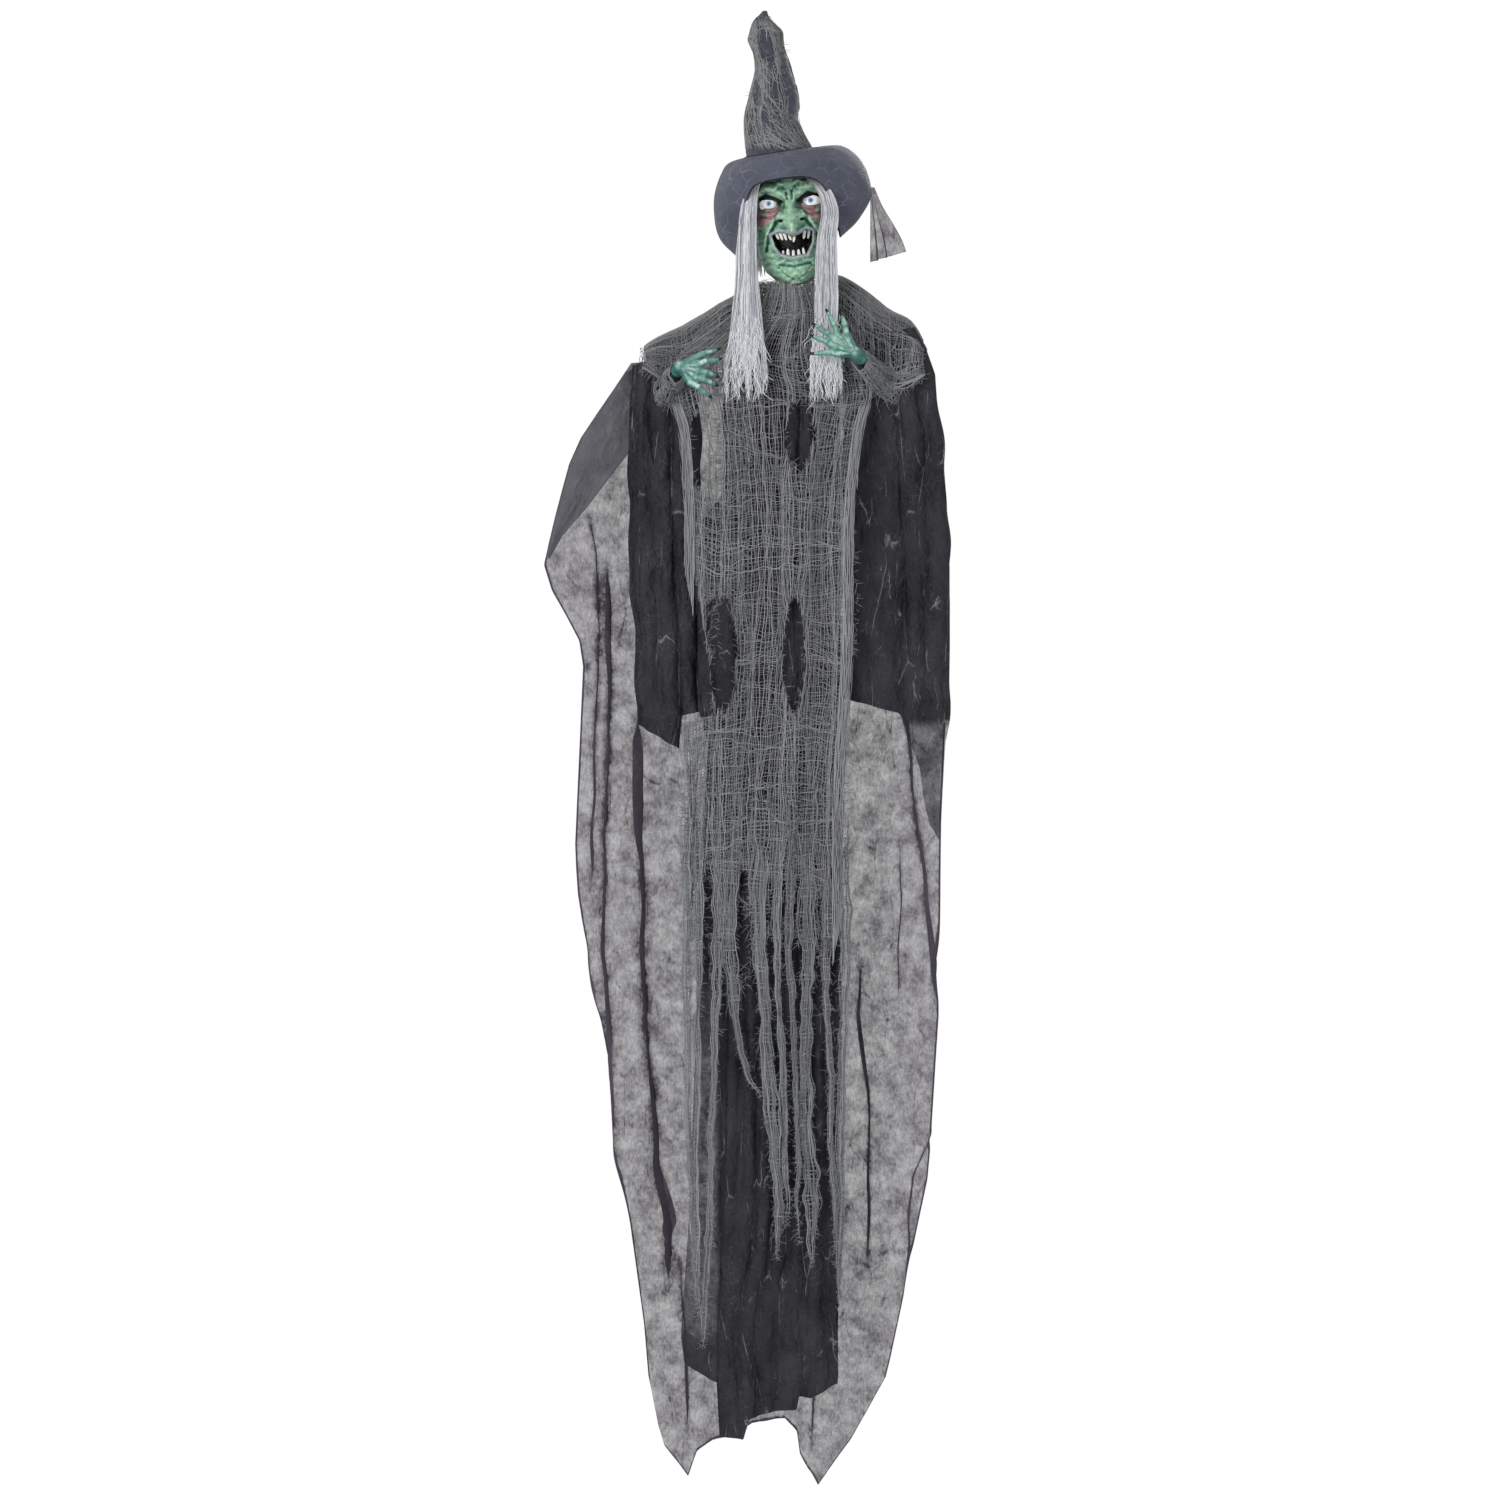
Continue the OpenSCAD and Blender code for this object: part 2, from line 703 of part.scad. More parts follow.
// Point of the brim at angle t and share s of its width: it droops at the sides and the back
function brim_point(t, s) =
    let (right = cos(t) > 0, side = pow(abs(cos(t)), 1.25 + 4.2 * s),
        reach = lookup(s, right ? brim_reach_right : brim_reach_left),
        height = lookup(s, right ? brim_height_right : brim_height_left),
        level = brim_top + (3 + 0.1 * reach * cos(t)) * s - (40 + 62 * max(0, sin(t))) * pow(s, 1.5))
    [brim_x + reach * cos(t), neck_y + (64 + 47 * s) * sin(t), level * (1 - side) + height * side];

module hat_brim() {
    n = 36;
    steps = [0, 0.12, 0.3, 0.45, 0.6, 0.75, 0.85, 1];
    color(black)
    shell([for (s = steps) [for (k = [0:n - 1]) brim_point(360 * k / n, s)]],
        [for (s = steps) [for (k = [0:n - 1])
            let (t = 360 * k / n) brim_point(t, s) - 2 * [cos(t), sin(t), 1]]],
        false);
}

module hat_tail() {
    color(sheer)
    panel(163, 55, 4, 3, [[163, 122.4], [55, 123]], [[163, 129], [100, 160], [55, 174]],
        function(x) neck_y - 3, 6);
}

// ---- Gauze ----

cowl_hem = -88; // lowest the cowl reaches
shoulder_line_left = [[62, 14], [95, -2], [116, -20], [140, -32], [190, -56], [208, -80]];
shoulder_line_right = [[62, 40], [87, 33], [97, 27], [117, 12], [152, -13], [190, -40], [204, -64]];
function shoulder_line(x) = lookup(abs(x), x < 0 ? shoulder_line_left : shoulder_line_right);

module cowl(side) {
    xs = side < 0 ? [-208, -190, -165, -135, -105, -80, -62] : [62, 80, 105, 135, 165, 190, 204];
    function fold(x, a, cut) =
        [x, arm_y + ((a > 0 ? 49 : 68) - cut) * sin(a),
            shoulder_line(x) - cut + (cowl_hem - shoulder_line(x)) * pow(1 - cos(a), 1.3)];
    angles = [for (k = [0:10]) 84 - k * 16.8];
    color(gauze)
    slab([for (a = angles) [for (x = xs) fold(x, a, 0)]],
        [for (a = angles) [for (x = xs) fold(x, a, 5)]]);
}

gauze_left_edge = [[-30, -58], [-132, -58], [-133, -150], [-391, -142], [-521, -112],
    [-570, -112], [-608, -148], [-940, -152]];
gauze_right_edge = [[-30, 58], [-132, 58], [-133, 105], [-492, 102], [-723, 82], [-940, 87]];

module gauze_front() {
    color(gauze)
    panel(-50, -940, 30, 3, gauze_left_edge, gauze_right_edge, function(x) gauze_y);
}

module gauze_strips(left, right, bottom) {
    color(gauze)
    panel(-941, bottom, 3, 2, [[-941, left], [bottom, left + 12]],
        [[-941, right], [bottom, right - 12]], function(x) gauze_y);
}

// ---- Black cloth ----

module robe_front() {
    color(black)
    panel(-52, -1645, 16, 3,
        [[-52, -59], [-130, -80], [-600, -110], [-1300, -138], [-1535, -156], [-1558, -104],
            [-1645, -106]],
        [[-52, 59], [-130, 76], [-900, 76], [-1500, 66], [-1564, 74], [-1590, 16], [-1645, -74]],
        function(x) robe_y);
}

cape_left_edge = [[-90, -222], [-145, -259], [-217, -307], [-326, -336], [-398, -352],
    [-434, -328], [-506, -291], [-796, -304], [-868, -299], [-977, -279], [-1121, -258],
    [-1338, -224], [-1483, -204], [-1628, -192], [-robe_drop + 14, -176]];
cape_right_edge = [[-90, 206], [-181, 224], [-289, 234], [-398, 239], [-506, 237], [-760, 226],
    [-1013, 224], [-1266, 208], [-1374, 185], [-1447, 171], [-1555, 148], [-1628, 126],
    [-robe_drop, 91]];
cape_inner_left = [[-90, -70], [-1649, -70], [-1664, -134], [-robe_drop + 14, -172]];
cape_inner_right = [[-90, 40], [-1613, 40], [-1664, 38], [-robe_drop, 87]];

// The cape's front face curves forward past the shoulders
function cape_front(x) = cape_y - 62 * pow(max(0, min(1, (abs(x) - 70) / 220)), 1.6);

module cape_back() {
    color(sheer)
    panel(-90, -1613, 2, 2, [[-90, -69.7], [-1613, -69.7]], [[-90, 39.7], [-1613, 39.7]],
        function(x) cape_y);
}

module cape_side(left, right, bottom) {
    color(sheer) panel(-90, bottom, 44, 5, left, right, function(x) cape_front(x));
}

module sleeve(left, right, bottom) {
    color(black) panel(-170, bottom, 8, 3, left, right, function(x) sleeve_y);
}

hanger_plate();
hanger_screws();
case_back();
case_front();
case_screws();
batteries();
battery_door();
gear_motor();
motor_gearbox();
neck_bushes();
speaker();
circuit_board();
motion_sensor();
power_switch_knob();
test_button();
wire_harness();
shoulder_tube(-1);  // shoulder_tube_left
shoulder_tube(1);  // shoulder_tube_right
shoulder_block(-1);  // shoulder_block_left
shoulder_block(1);  // shoulder_block_right
neck_collar();
neck_wrap();
cowl(-1);  // cowl_left
cowl(1);  // cowl_right
gauze_front();
gauze_strips(-152, -98, -1500);  // gauze_strips_left
gauze_strips(-76, 48, -1370);  // gauze_strips_centre
gauze_strips(52, 92, -1465);  // gauze_strips_right
robe_front();
cape_back();
cape_side(cape_left_edge, cape_inner_left, -robe_drop + 14);  // cape_left
cape_side(cape_inner_right, cape_right_edge, -robe_drop);  // cape_right
sleeve([[-170, -236], [-400, -230], [-640, -212]], [[-170, -154], [-400, -144], [-600, -108]],  // sleeve_left
        -640);
sleeve([[-170, 108], [-500, 106], [-600, 90]], [[-170, 218], [-400, 214], [-600, 160]], -600);  // sleeve_right
hair_tress([[38, -74], [-60, -86], [-150, -88]], [[38, -44], [-60, -34], [-150, -26]]);  // hair_tress_left
hair_tress([[38, 42], [-60, 30], [-150, 36]], [[38, 72], [-60, 72], [-150, 82]]);  // hair_tress_right
neck_shaft();
neck_gear();
head_bracket();
skull_shell();
face_mask();
eye(-1);  // eye_left
eye(1);  // eye_right
eye_leds();
teeth();
mouth_liner();
hair_side(-1);  // hair_left
hair_side(1);  // hair_right
hair_back();
hat_crown();
hat_gauze();
hat_brim();
hat_tail();
drive_gear();
arm_rod(-1, wrist_left);  // arm_rod_left
arm_rod(1, wrist_right);  // arm_rod_right
arm_gauze(-1, wrist_left);  // arm_gauze_left
arm_gauze(1, wrist_right);  // arm_gauze_right
hand(-1, wrist_left, knuckles_left, tips_left);  // hand_left
hand(1, wrist_right, knuckles_right, tips_right);  // hand_right
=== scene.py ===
"""Looks of the hanging witch figure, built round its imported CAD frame. Lengths here are in millimetres."""

import json
import math

import bpy
import numpy as np
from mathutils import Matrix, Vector


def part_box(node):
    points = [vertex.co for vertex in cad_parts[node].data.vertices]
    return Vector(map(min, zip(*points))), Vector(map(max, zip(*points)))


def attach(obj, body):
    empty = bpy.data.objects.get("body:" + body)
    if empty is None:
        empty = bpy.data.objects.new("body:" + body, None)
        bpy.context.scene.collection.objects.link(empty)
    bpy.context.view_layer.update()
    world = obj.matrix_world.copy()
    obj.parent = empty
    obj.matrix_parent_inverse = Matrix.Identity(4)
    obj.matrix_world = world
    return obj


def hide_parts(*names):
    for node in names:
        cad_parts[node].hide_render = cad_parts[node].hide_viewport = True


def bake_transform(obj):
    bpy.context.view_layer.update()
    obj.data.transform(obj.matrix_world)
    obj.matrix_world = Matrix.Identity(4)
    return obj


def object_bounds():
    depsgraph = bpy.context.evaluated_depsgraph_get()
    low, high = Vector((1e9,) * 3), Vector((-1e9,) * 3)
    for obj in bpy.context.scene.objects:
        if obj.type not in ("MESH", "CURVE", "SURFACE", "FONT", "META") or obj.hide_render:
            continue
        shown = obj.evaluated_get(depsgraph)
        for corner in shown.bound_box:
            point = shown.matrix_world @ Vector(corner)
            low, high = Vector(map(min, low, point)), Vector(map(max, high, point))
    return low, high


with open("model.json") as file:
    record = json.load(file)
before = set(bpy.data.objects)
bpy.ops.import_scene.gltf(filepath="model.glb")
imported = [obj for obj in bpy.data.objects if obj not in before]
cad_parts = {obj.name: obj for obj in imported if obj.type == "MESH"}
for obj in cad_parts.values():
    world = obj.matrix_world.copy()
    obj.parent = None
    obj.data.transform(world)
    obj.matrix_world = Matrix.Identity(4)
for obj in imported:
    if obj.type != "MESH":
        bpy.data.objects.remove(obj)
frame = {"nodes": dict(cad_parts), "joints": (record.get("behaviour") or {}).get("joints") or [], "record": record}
cad_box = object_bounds()

MM = 0.001
AMBIENT = 0.42
CAMERA_DISTANCE = 25.0  # metres
VIEW_HEIGHT = 2.170  # how much of the neck's plane the picture spans, in metres
VIEW_CENTRE = (-0.0506, -0.651)  # x and z, in metres


# ---- Reading the frame ----


def box(node):
    """Lowest and highest corner of a CAD node, in millimetres."""
    low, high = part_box(node)
    return np.array(low) / MM, np.array(high) / MM


def outline(node):
    """Heights of a CAD panel's rows from the top down, with each row's left and right edge."""
    points = np.array([v.co for v in frame["nodes"][node].data.vertices]) / MM
    rows = {}
    for x, y, z in points:
        rows.setdefault(round(float(z)), []).append((x, y))
    heights = sorted(rows, reverse=True)
    left = [min(p[0] for p in rows[z]) for z in heights]
    right = [max(p[0] for p in rows[z]) for z in heights]
    return np.array(heights), np.array(left), np.array(right)


def at(z, heights, values):
    """A value that an outline gives by height, at heights z."""
    return np.interp(-np.asarray(z, float), -heights, values)


def joint_point(name):
    """A hinge's point, in millimetres."""
    joint = next(j for j in frame["joints"] if j["name"] == name)
    return np.array(joint["pos_m"]) / MM


NECK = joint_point("head_turn")
HEAD_LEAN = math.radians(5)
face_low, face_high = box("face_mask")
HEAD = np.array([8, NECK[1], (face_low[2] + face_high[2]) / 2])


# ---- Numbers ----


def smooth(x, low, high):
    """0 below low, 1 above high, and a smooth step between them."""
    t = np.clip((np.asarray(x, float) - low) / (high - low), 0, 1)
    return t * t * (3 - 2 * t)


def bump(x, width):
    return np.exp(-((x / width) ** 2))


def curve(x, places, values):
    """A smooth line through values at rising places."""
    places, values = np.asarray(places, float), np.asarray(values, float)
    slope = np.gradient(values, places)
    x = np.clip(np.asarray(x, float), places[0], places[-1])
    i = np.clip(np.searchsorted(places, x) - 1, 0, len(places) - 2)
    width = places[i + 1] - places[i]
    t = (x - places[i]) / width
    return (
        (2 * t**3 - 3 * t**2 + 1) * values[i]
        + (t**3 - 2 * t**2 + t) * width * slope[i]
        + (3 * t**2 - 2 * t**3) * values[i + 1]
        + (t**3 - t**2) * width * slope[i + 1]
    )


def noise(x, y, seed):
    """Smooth noise from -1 to 1 over a plane, with bumps about one unit apart."""
    table = np.random.default_rng(seed).random((64, 64))
    x, y = np.broadcast_arrays(np.asarray(x, float), np.asarray(y, float))
    i, j = np.floor(x).astype(int), np.floor(y).astype(int)
    fx, fy = x - i, y - j
    fx, fy = fx * fx * (3 - 2 * fx), fy * fy * (3 - 2 * fy)
    near = table[i % 64, j % 64] * (1 - fx) + table[(i + 1) % 64, j % 64] * fx
    far = table[i % 64, (j + 1) % 64] * (1 - fx) + table[(i + 1) % 64, (j + 1) % 64] * fx
    return 2 * (near * (1 - fy) + far * fy) - 1


def rough_noise(x, y, seed, octaves=3):
    """Noise with finer noise added to it."""
    return sum(noise(x * 2**k, y * 2**k, seed + k) / 2**k for k in range(octaves))


def crumple(x, z, size, seed):
    """Creases as in crushed paper: sharp ridges about size millimetres apart, from 0 to about 1."""
    total = 0
    for k in range(3):
        reach = size / 1.9**k
        bend = 0.7 * noise(z / reach, x / reach, seed + 10 + k)
        total = total + (1 - np.abs(noise(x / reach + bend, 0.55 * z / reach, seed + k))) ** 4 / 2**k
    return total / 1.75


# ---- Meshes ----


def new_piece(name, points, faces, material, smooth_shaded=True):
    """A mesh object from points in millimetres and faces that all have the same number of corners."""
    mesh = bpy.data.meshes.new(name)
    faces = np.asarray(faces, np.int32)
    count, corners = faces.shape
    mesh.vertices.add(len(points))
    mesh.vertices.foreach_set("co", (np.asarray(points, float) * MM).astype(np.float32).ravel())
    mesh.loops.add(count * corners)
    mesh.loops.foreach_set("vertex_index", faces.ravel())
    mesh.polygons.add(count)
    mesh.polygons.foreach_set("loop_start", np.arange(0, count * corners, corners, dtype=np.int32))
    mesh.polygons.foreach_set("use_smooth", np.full(count, smooth_shaded))
    mesh.update(calc_edges=True)
    mesh.materials.append(material)
    obj = bpy.data.objects.new(name, mesh)
    bpy.context.scene.collection.objects.link(obj)
    return obj


def grid_faces(rows, columns, closed=False):
    """Quads of a grid of points listed row by row; closed joins the last column to the first."""
    i = np.arange(rows - 1)[:, None]
    j = np.arange(columns if closed else columns - 1)[None, :]
    k = (j + 1) % columns
    return np.stack(
        [i * columns + j, i * columns + k, (i + 1) * columns + k, (i + 1) * columns + j], axis=-1
    ).reshape(-1, 4)


def grid_piece(name, points, material, closed=False):
    rows, columns = points.shape[:2]
    return new_piece(name, points.reshape(-1, 3), grid_faces(rows, columns, closed), material)


def grids_piece(name, grids, material):
    """One mesh of several grids of points."""
    points, faces, count = [], [], 0
    for grid in grids:
        rows, columns = grid.shape[:2]
        points.append(grid.reshape(-1, 3))
        faces.append(grid_faces(rows, columns) + count)
        count += rows * columns
    return new_piece(name, np.concatenate(points), np.concatenate(faces), material)


def thicken(obj, thickness):
    """Gives a sheet its thickness, in millimetres."""
    solid = obj.modifiers.new("Thickness", "SOLIDIFY")
    solid.thickness = thickness * MM
    solid.offset = 0
    return obj


def paint(obj, name, colours):
    """Stores one colour or one number for each point of a mesh."""
    colours = np.asarray(colours, np.float32)
    kind = "FLOAT" if colours.ndim == 1 else "FLOAT_COLOR"
    attribute = obj.data.attributes.new(name, kind, "POINT")
    if kind == "FLOAT":
        attribute.data.foreach_set("value", colours)
        return
    full = np.ones((len(colours), 4), np.float32)
    full[:, :3] = colours[:, :3]
    attribute.data.foreach_set("color", full.ravel())


class Threads:
    """Gathers thin three-sided tubes and makes one mesh of them."""

    def __init__(self):
        self.points, self.faces, self.shades, self.count = [], [], [], 0

    def add(self, line, radius, shade=0.5):
        """One thread along a line of points, with pointed ends; radius is one number or one per point."""
        n = len(line)
        if n < 3:
            return
        tangent = np.gradient(line, axis=0)
        tangent /= np.linalg.norm(tangent, axis=1, keepdims=True) + 1e-9
        side = np.cross(tangent, [0.23, -0.9, 0.37])
        side /= np.linalg.norm(side, axis=1, keepdims=True) + 1e-9
        other = np.cross(tangent, side)
        size = np.ones(n) * radius
        size[0] *= 0.3
        size[-1] *= 0.3
        turn = np.array([0, 2 * math.pi / 3, 4 * math.pi / 3])
        ring = (
            line[:, None, :]
            + size[:, None, None] * np.cos(turn)[None, :, None] * side[:, None, :]
            + size[:, None, None] * np.sin(turn)[None, :, None] * other[:, None, :]
        )
        quads = grid_faces(n, 3, closed=True)
        ends = [[2, 1, 0], [3 * n - 3, 3 * n - 2, 3 * n - 1]]
        tris = np.concatenate([quads[:, [0, 1, 2]], quads[:, [0, 2, 3]], ends])
        self.points.append(ring.reshape(-1, 3))
        self.faces.append(tris + self.count)
        self.shades.append(np.full(3 * n, shade))
        self.count += 3 * n

    def piece(self, name, material):
        obj = new_piece(name, np.concatenate(self.points), np.concatenate(self.faces), material)
        paint(obj, "shade", np.concatenate(self.shades))
        return obj


def runs(mask, shortest=3):
    """Start and end of each stretch of True that is long enough."""
    edges = np.flatnonzero(np.diff(np.concatenate([[0], mask.astype(int), [0]])))
    return [(a, b) for a, b in zip(edges[::2], edges[1::2]) if b - a >= shortest]


def weave(threads, surface, warps, wefts, length, width, keep, seed, radius=(0.7, 0.5), bunch=1.0):
    """Open woven cloth over surface(u, v), u across and v down, with threads missing where keep is False."""
    rng = np.random.default_rng(seed)
    v = np.linspace(0, 1, max(8, int(length / 6.5)))
    for i in range(warps):
        u = (i + 0.5) / warps + bunch / warps * (
            3.0 * noise(v * length / 190, i / 4.5, seed)
            + 0.8 * noise(v * length / 40, i / 1.5, seed + 1)
            + 0.35 * noise(v * length / 9, i, seed + 6)
        )
        shade = rng.random()
        for a, b in runs(keep(u, v, True)):
            line = surface(u[a:b], v[a:b])
            line[:, 1] += 0.5 * np.sin(np.arange(a, b) * 2.1 + i)
            threads.add(line, radius[0] * rng.uniform(0.6, 1.3), shade)
    u = np.linspace(0, 1, max(8, int(width / 5.5)))
    for j in range(wefts):
        v = (j + 0.5) / wefts + bunch / wefts * (
            3.2 * noise(u * width / 60, j / 9, seed + 2)
            + 1.0 * noise(u * width / 17, j / 2.2, seed + 3)
            + 0.45 * noise(u * width / 7, j, seed + 5)
        )
        shade = 0.9 * rng.random()
        for a, b in runs(keep(u, v, False)):
            line = surface(u[a:b], v[a:b])
            line[:, 1] -= 0.5
            threads.add(line, radius[1] * rng.uniform(0.6, 1.3), shade)


def fuzz(threads, line, seed, spacing=5.0, reach=7.0, radius=0.3):
    """Short loose curly fibres that stand off a line of points."""
    rng = np.random.default_rng(seed)
    total = np.linalg.norm(np.diff(line, axis=0), axis=1).sum()
    s = np.linspace(0, 1, 4)[:, None]
    for _ in range(int(total / spacing)):
        start = line[rng.integers(len(line))]
        lean = rng.normal(size=3) * [1, 0.3, 0.8] - [0, 0, 0.5]
        curl = rng.normal(size=3) * reach * 0.35
        threads.add(
            start + s * lean * reach * rng.uniform(0.3, 0.8) + s * s * curl, radius, 0.4 + 0.5 * rng.random()
        )


# ---- Materials ----


class Shader:
    """A material's node tree with short calls for what the materials below need."""

    def __init__(self, name, **values):
        self.material = bpy.data.materials.new(name)
        self.material.use_nodes = True
        self.tree = self.material.node_tree
        self.body = self.tree.nodes["Principled BSDF"]
        self.set(self.body, **values)

    def set(self, node, **values):
        for key, value in values.items():
            socket = node.inputs[key.replace("_", " ")]
            if isinstance(value, bpy.types.NodeSocket):
                self.tree.links.new(value, socket)
            elif socket.type == "RGBA" and len(value) == 3:
                socket.default_value = (*value, 1)
            else:
                socket.default_value = value
        return node

    def place(self, stretch=(1, 1, 1)):
        """Object coordinates in metres, scaled along each axis."""
        mapping = self.tree.nodes.new("ShaderNodeMapping")
        coordinates = self.tree.nodes.new("ShaderNodeTexCoord")
        self.tree.links.new(coordinates.outputs["Object"], mapping.inputs["Vector"])
        mapping.inputs["Scale"].default_value = stretch
        return mapping.outputs["Vector"]

    def noise(self, scale, detail=3.0, rough=0.6, stretch=(1, 1, 1), distortion=0.0):
        node = self.tree.nodes.new("ShaderNodeTexNoise")
        self.set(
            node, Vector=self.place(stretch), Scale=scale, Detail=detail, Roughness=rough,
            Distortion=distortion
        )
        return node.outputs["Fac"]

    def cells(self, scale, stretch=(1, 1, 1), feature="DISTANCE_TO_EDGE"):
        node = self.tree.nodes.new("ShaderNodeTexVoronoi")
        node.feature = feature
        self.set(node, Vector=self.place(stretch), Scale=scale)
        return node.outputs["Distance"]

    def ramp(self, value, *stops):
        """Numbers or colours by value: each stop is (place, number or colour)."""
        node = self.tree.nodes.new("ShaderNodeValToRGB")
        for k, (place, colour) in enumerate(stops):
            stop = node.color_ramp.elements[k] if k < 2 else node.color_ramp.elements.new(place)
            stop.position = place
            stop.color = (colour,) * 3 + (1,) if isinstance(colour, (int, float)) else (*colour, 1)
        self.tree.links.new(value, node.inputs["Fac"])
        return node.outputs["Color"]

    def math(self, operation, a, b):
        node = self.tree.nodes.new("ShaderNodeMath")
        node.operation = operation
        for socket, value in zip(node.inputs, (a, b)):
            if isinstance(value, bpy.types.NodeSocket):
                self.tree.links.new(value, socket)
            else:
                socket.default_value = value
        return node.outputs[0]

    def mix(self, share, a, b, blend="MIX"):
        node = self.tree.nodes.new("ShaderNodeMix")
        node.data_type = "RGBA"
        node.blend_type = blend
        for socket, value in zip((node.inputs[0], node.inputs[6], node.inputs[7]), (share, a, b)):
            if isinstance(value, bpy.types.NodeSocket):
                self.tree.links.new(value, socket)
            else:
                socket.default_value = value if isinstance(value, (int, float)) else (*value, 1)
        return node.outputs[2]

    def attribute(self, name, colour=False):
        node = self.tree.nodes.new("ShaderNodeAttribute")
        node.attribute_name = name
        return node.outputs["Color" if colour else "Fac"]

    def bumps(self, height, strength, distance):
        node = self.tree.nodes.new("ShaderNodeBump")
        self.set(node, Height=height, Strength=strength, Distance=distance)
        self.set(self.body, Normal=node.outputs["Normal"])


def yarn_material():
    s = Shader("gauze_yarn", Roughness=0.95, Sheen_Weight=0.2)
    base = s.ramp(s.noise(9, 4), (0.3, (0.17, 0.178, 0.19)), (0.7, (0.31, 0.32, 0.335)))
    s.set(s.body, Base_Color=s.mix(0.6, base, s.ramp(s.attribute("shade"), (0, 0.06), (1, 0.5))))
    s.bumps(s.noise(900, 2), 0.6, 0.0006)
    return s.material


def black_cloth_material():
    """Crinkled nonwoven: black where it is double, smoky where the sheer attribute says it is single."""
    s = Shader("black_nonwoven", Roughness=0.55, Specular_IOR_Level=0.3)
    thin = s.attribute("sheer")
    crease = s.cells(34, (1, 1, 0.2))
    small = s.cells(120, (1, 1, 0.5))
    line = s.ramp(s.math("MINIMUM", crease, s.math("MULTIPLY", small, 2.2)), (0.0, 1.0), (0.02, 0.0))
    where = s.ramp(s.noise(34, 5, 0.65, (1, 1, 0.45)), (0.5, 0.0), (0.6, 1.0))
    cloud = s.ramp(
        s.noise(20, 7, 0.68, (1, 1, 0.5)), (0.34, (0.008, 0.008, 0.011)), (0.7, (0.04, 0.04, 0.048))
    )
    glint = s.math("MULTIPLY", s.math("MULTIPLY", line, where), 0.5)
    s.set(s.body, Base_Color=s.mix(glint, cloud, (0.4, 0.4, 0.42)))
    stop = s.ramp(s.noise(45, 6, 0.7), (0.36, 0.5), (0.62, 0.82))
    s.set(s.body, Alpha=s.mix(thin, (1.0, 1.0, 1.0), stop))
    s.bumps(s.math("ADD", s.math("MULTIPLY", crease, 1.5), s.noise(160, 4)), 0.8, 0.005)
    return s.material


def sheer_material(name, low, high, tone):
    """Thin cloudy nonwoven: low and high are how much of the light its thin and thick places stop."""
    s = Shader(name, Roughness=0.75, Sheen_Weight=0.1, Specular_IOR_Level=0.25)
    cloud = s.noise(34, 9, 0.74)
    fibre = s.noise(330, 4, 0.7, (1, 1, 0.45))
    crease = s.cells(30, (1, 1, 0.3))
    line = s.math(
        "MULTIPLY", s.ramp(crease, (0.0, 0.14), (0.03, 0.0)), s.ramp(s.noise(22, 2), (0.5, 0.0), (0.6, 1.0))
    )
    web = s.math("ADD", s.math("MULTIPLY", cloud, 0.68), s.math("MULTIPLY", fibre, 0.32))
    # The hem attribute makes the cloth denser and darker: the real doubled edge along hems, and painted shade
    # along the cape's fold ridges.
    stop = s.math("ADD", s.math("ADD", s.ramp(web, (0.38, low), (0.6, high)), line), s.attribute("hem"))
    s.set(s.body, Alpha=s.math("MINIMUM", stop, 1.0))
    tint = s.ramp(cloud, (0.3, tone), (0.7, tuple(c * 1.5 for c in tone)))
    s.set(s.body, Base_Color=s.mix(s.attribute("hem"), tint, tuple(c * 0.5 for c in tone)))
    s.bumps(s.math("ADD", crease, fibre), 0.6, 0.003)
    return s.material


def hat_material(name, low, high):
    s = Shader(name, Roughness=0.55, Sheen_Weight=0.2, Specular_IOR_Level=0.45)
    cloud = s.noise(22, 7, 0.62)
    crease = s.ramp(s.cells(44), (0.0, 1.0), (0.04, 0.0))
    where = s.ramp(s.noise(30, 3), (0.42, 0.0), (0.6, 0.75))
    base = s.ramp(cloud, (0.3, low), (0.74, high))
    # Crease lines, shown in patches, are mixed towards a paler tone: painted highlight where light catches the
    # creases.
    s.set(s.body, Base_Color=s.mix(s.math("MULTIPLY", crease, where), base, tuple(2.0 * c for c in high)))
    s.bumps(s.math("ADD", s.math("MULTIPLY", s.noise(60, 6, 0.6), 2.0), s.noise(700, 2)), 0.7, 0.004)
    return s.material


def hair_material():
    s = Shader("hair_fibre", Roughness=0.42, Sheen_Weight=0.1, Specular_IOR_Level=0.4)
    tint = s.ramp(
        s.attribute("shade"), (0.0, (0.2, 0.205, 0.235)), (0.5, (0.68, 0.69, 0.73)), (1.0, (0.97, 0.97, 0.99))
    )
    s.set(s.body, Base_Color=s.mix(s.ramp(s.noise(60, 3), (0.45, 0.0), (0.7, 0.3)), tint, (0.45, 0.45, 0.5)))
    # A faint glow in the strands' own colour: painted light that brightens the white hair where the strands shade
    # each other.
    s.set(s.body, Emission_Color=tint, Emission_Strength=0.08)
    return s.material


def painted_material(name, rough=0.5, glow=0.0):
    """Rubber painted by hand: its colours are stored on its points, and a mottled wash lies over them."""
    s = Shader(name, Specular_IOR_Level=0.4)
    wash = s.ramp(s.noise(150, 5, 0.7), (0.38, 0.78), (0.66, 1.25))
    painted = s.mix(1.0, s.attribute("paint", True), wash, "MULTIPLY")
    # glow makes the paint shine in its own colours: painted light.
    s.set(s.body, Base_Color=painted, Emission_Color=painted, Emission_Strength=glow)
    s.set(s.body, Roughness=s.ramp(s.noise(90, 4), (0.3, rough - 0.12), (0.7, rough + 0.15)))
    s.bumps(s.noise(420, 5, 0.7), 0.45, 0.0012)
    return s.material


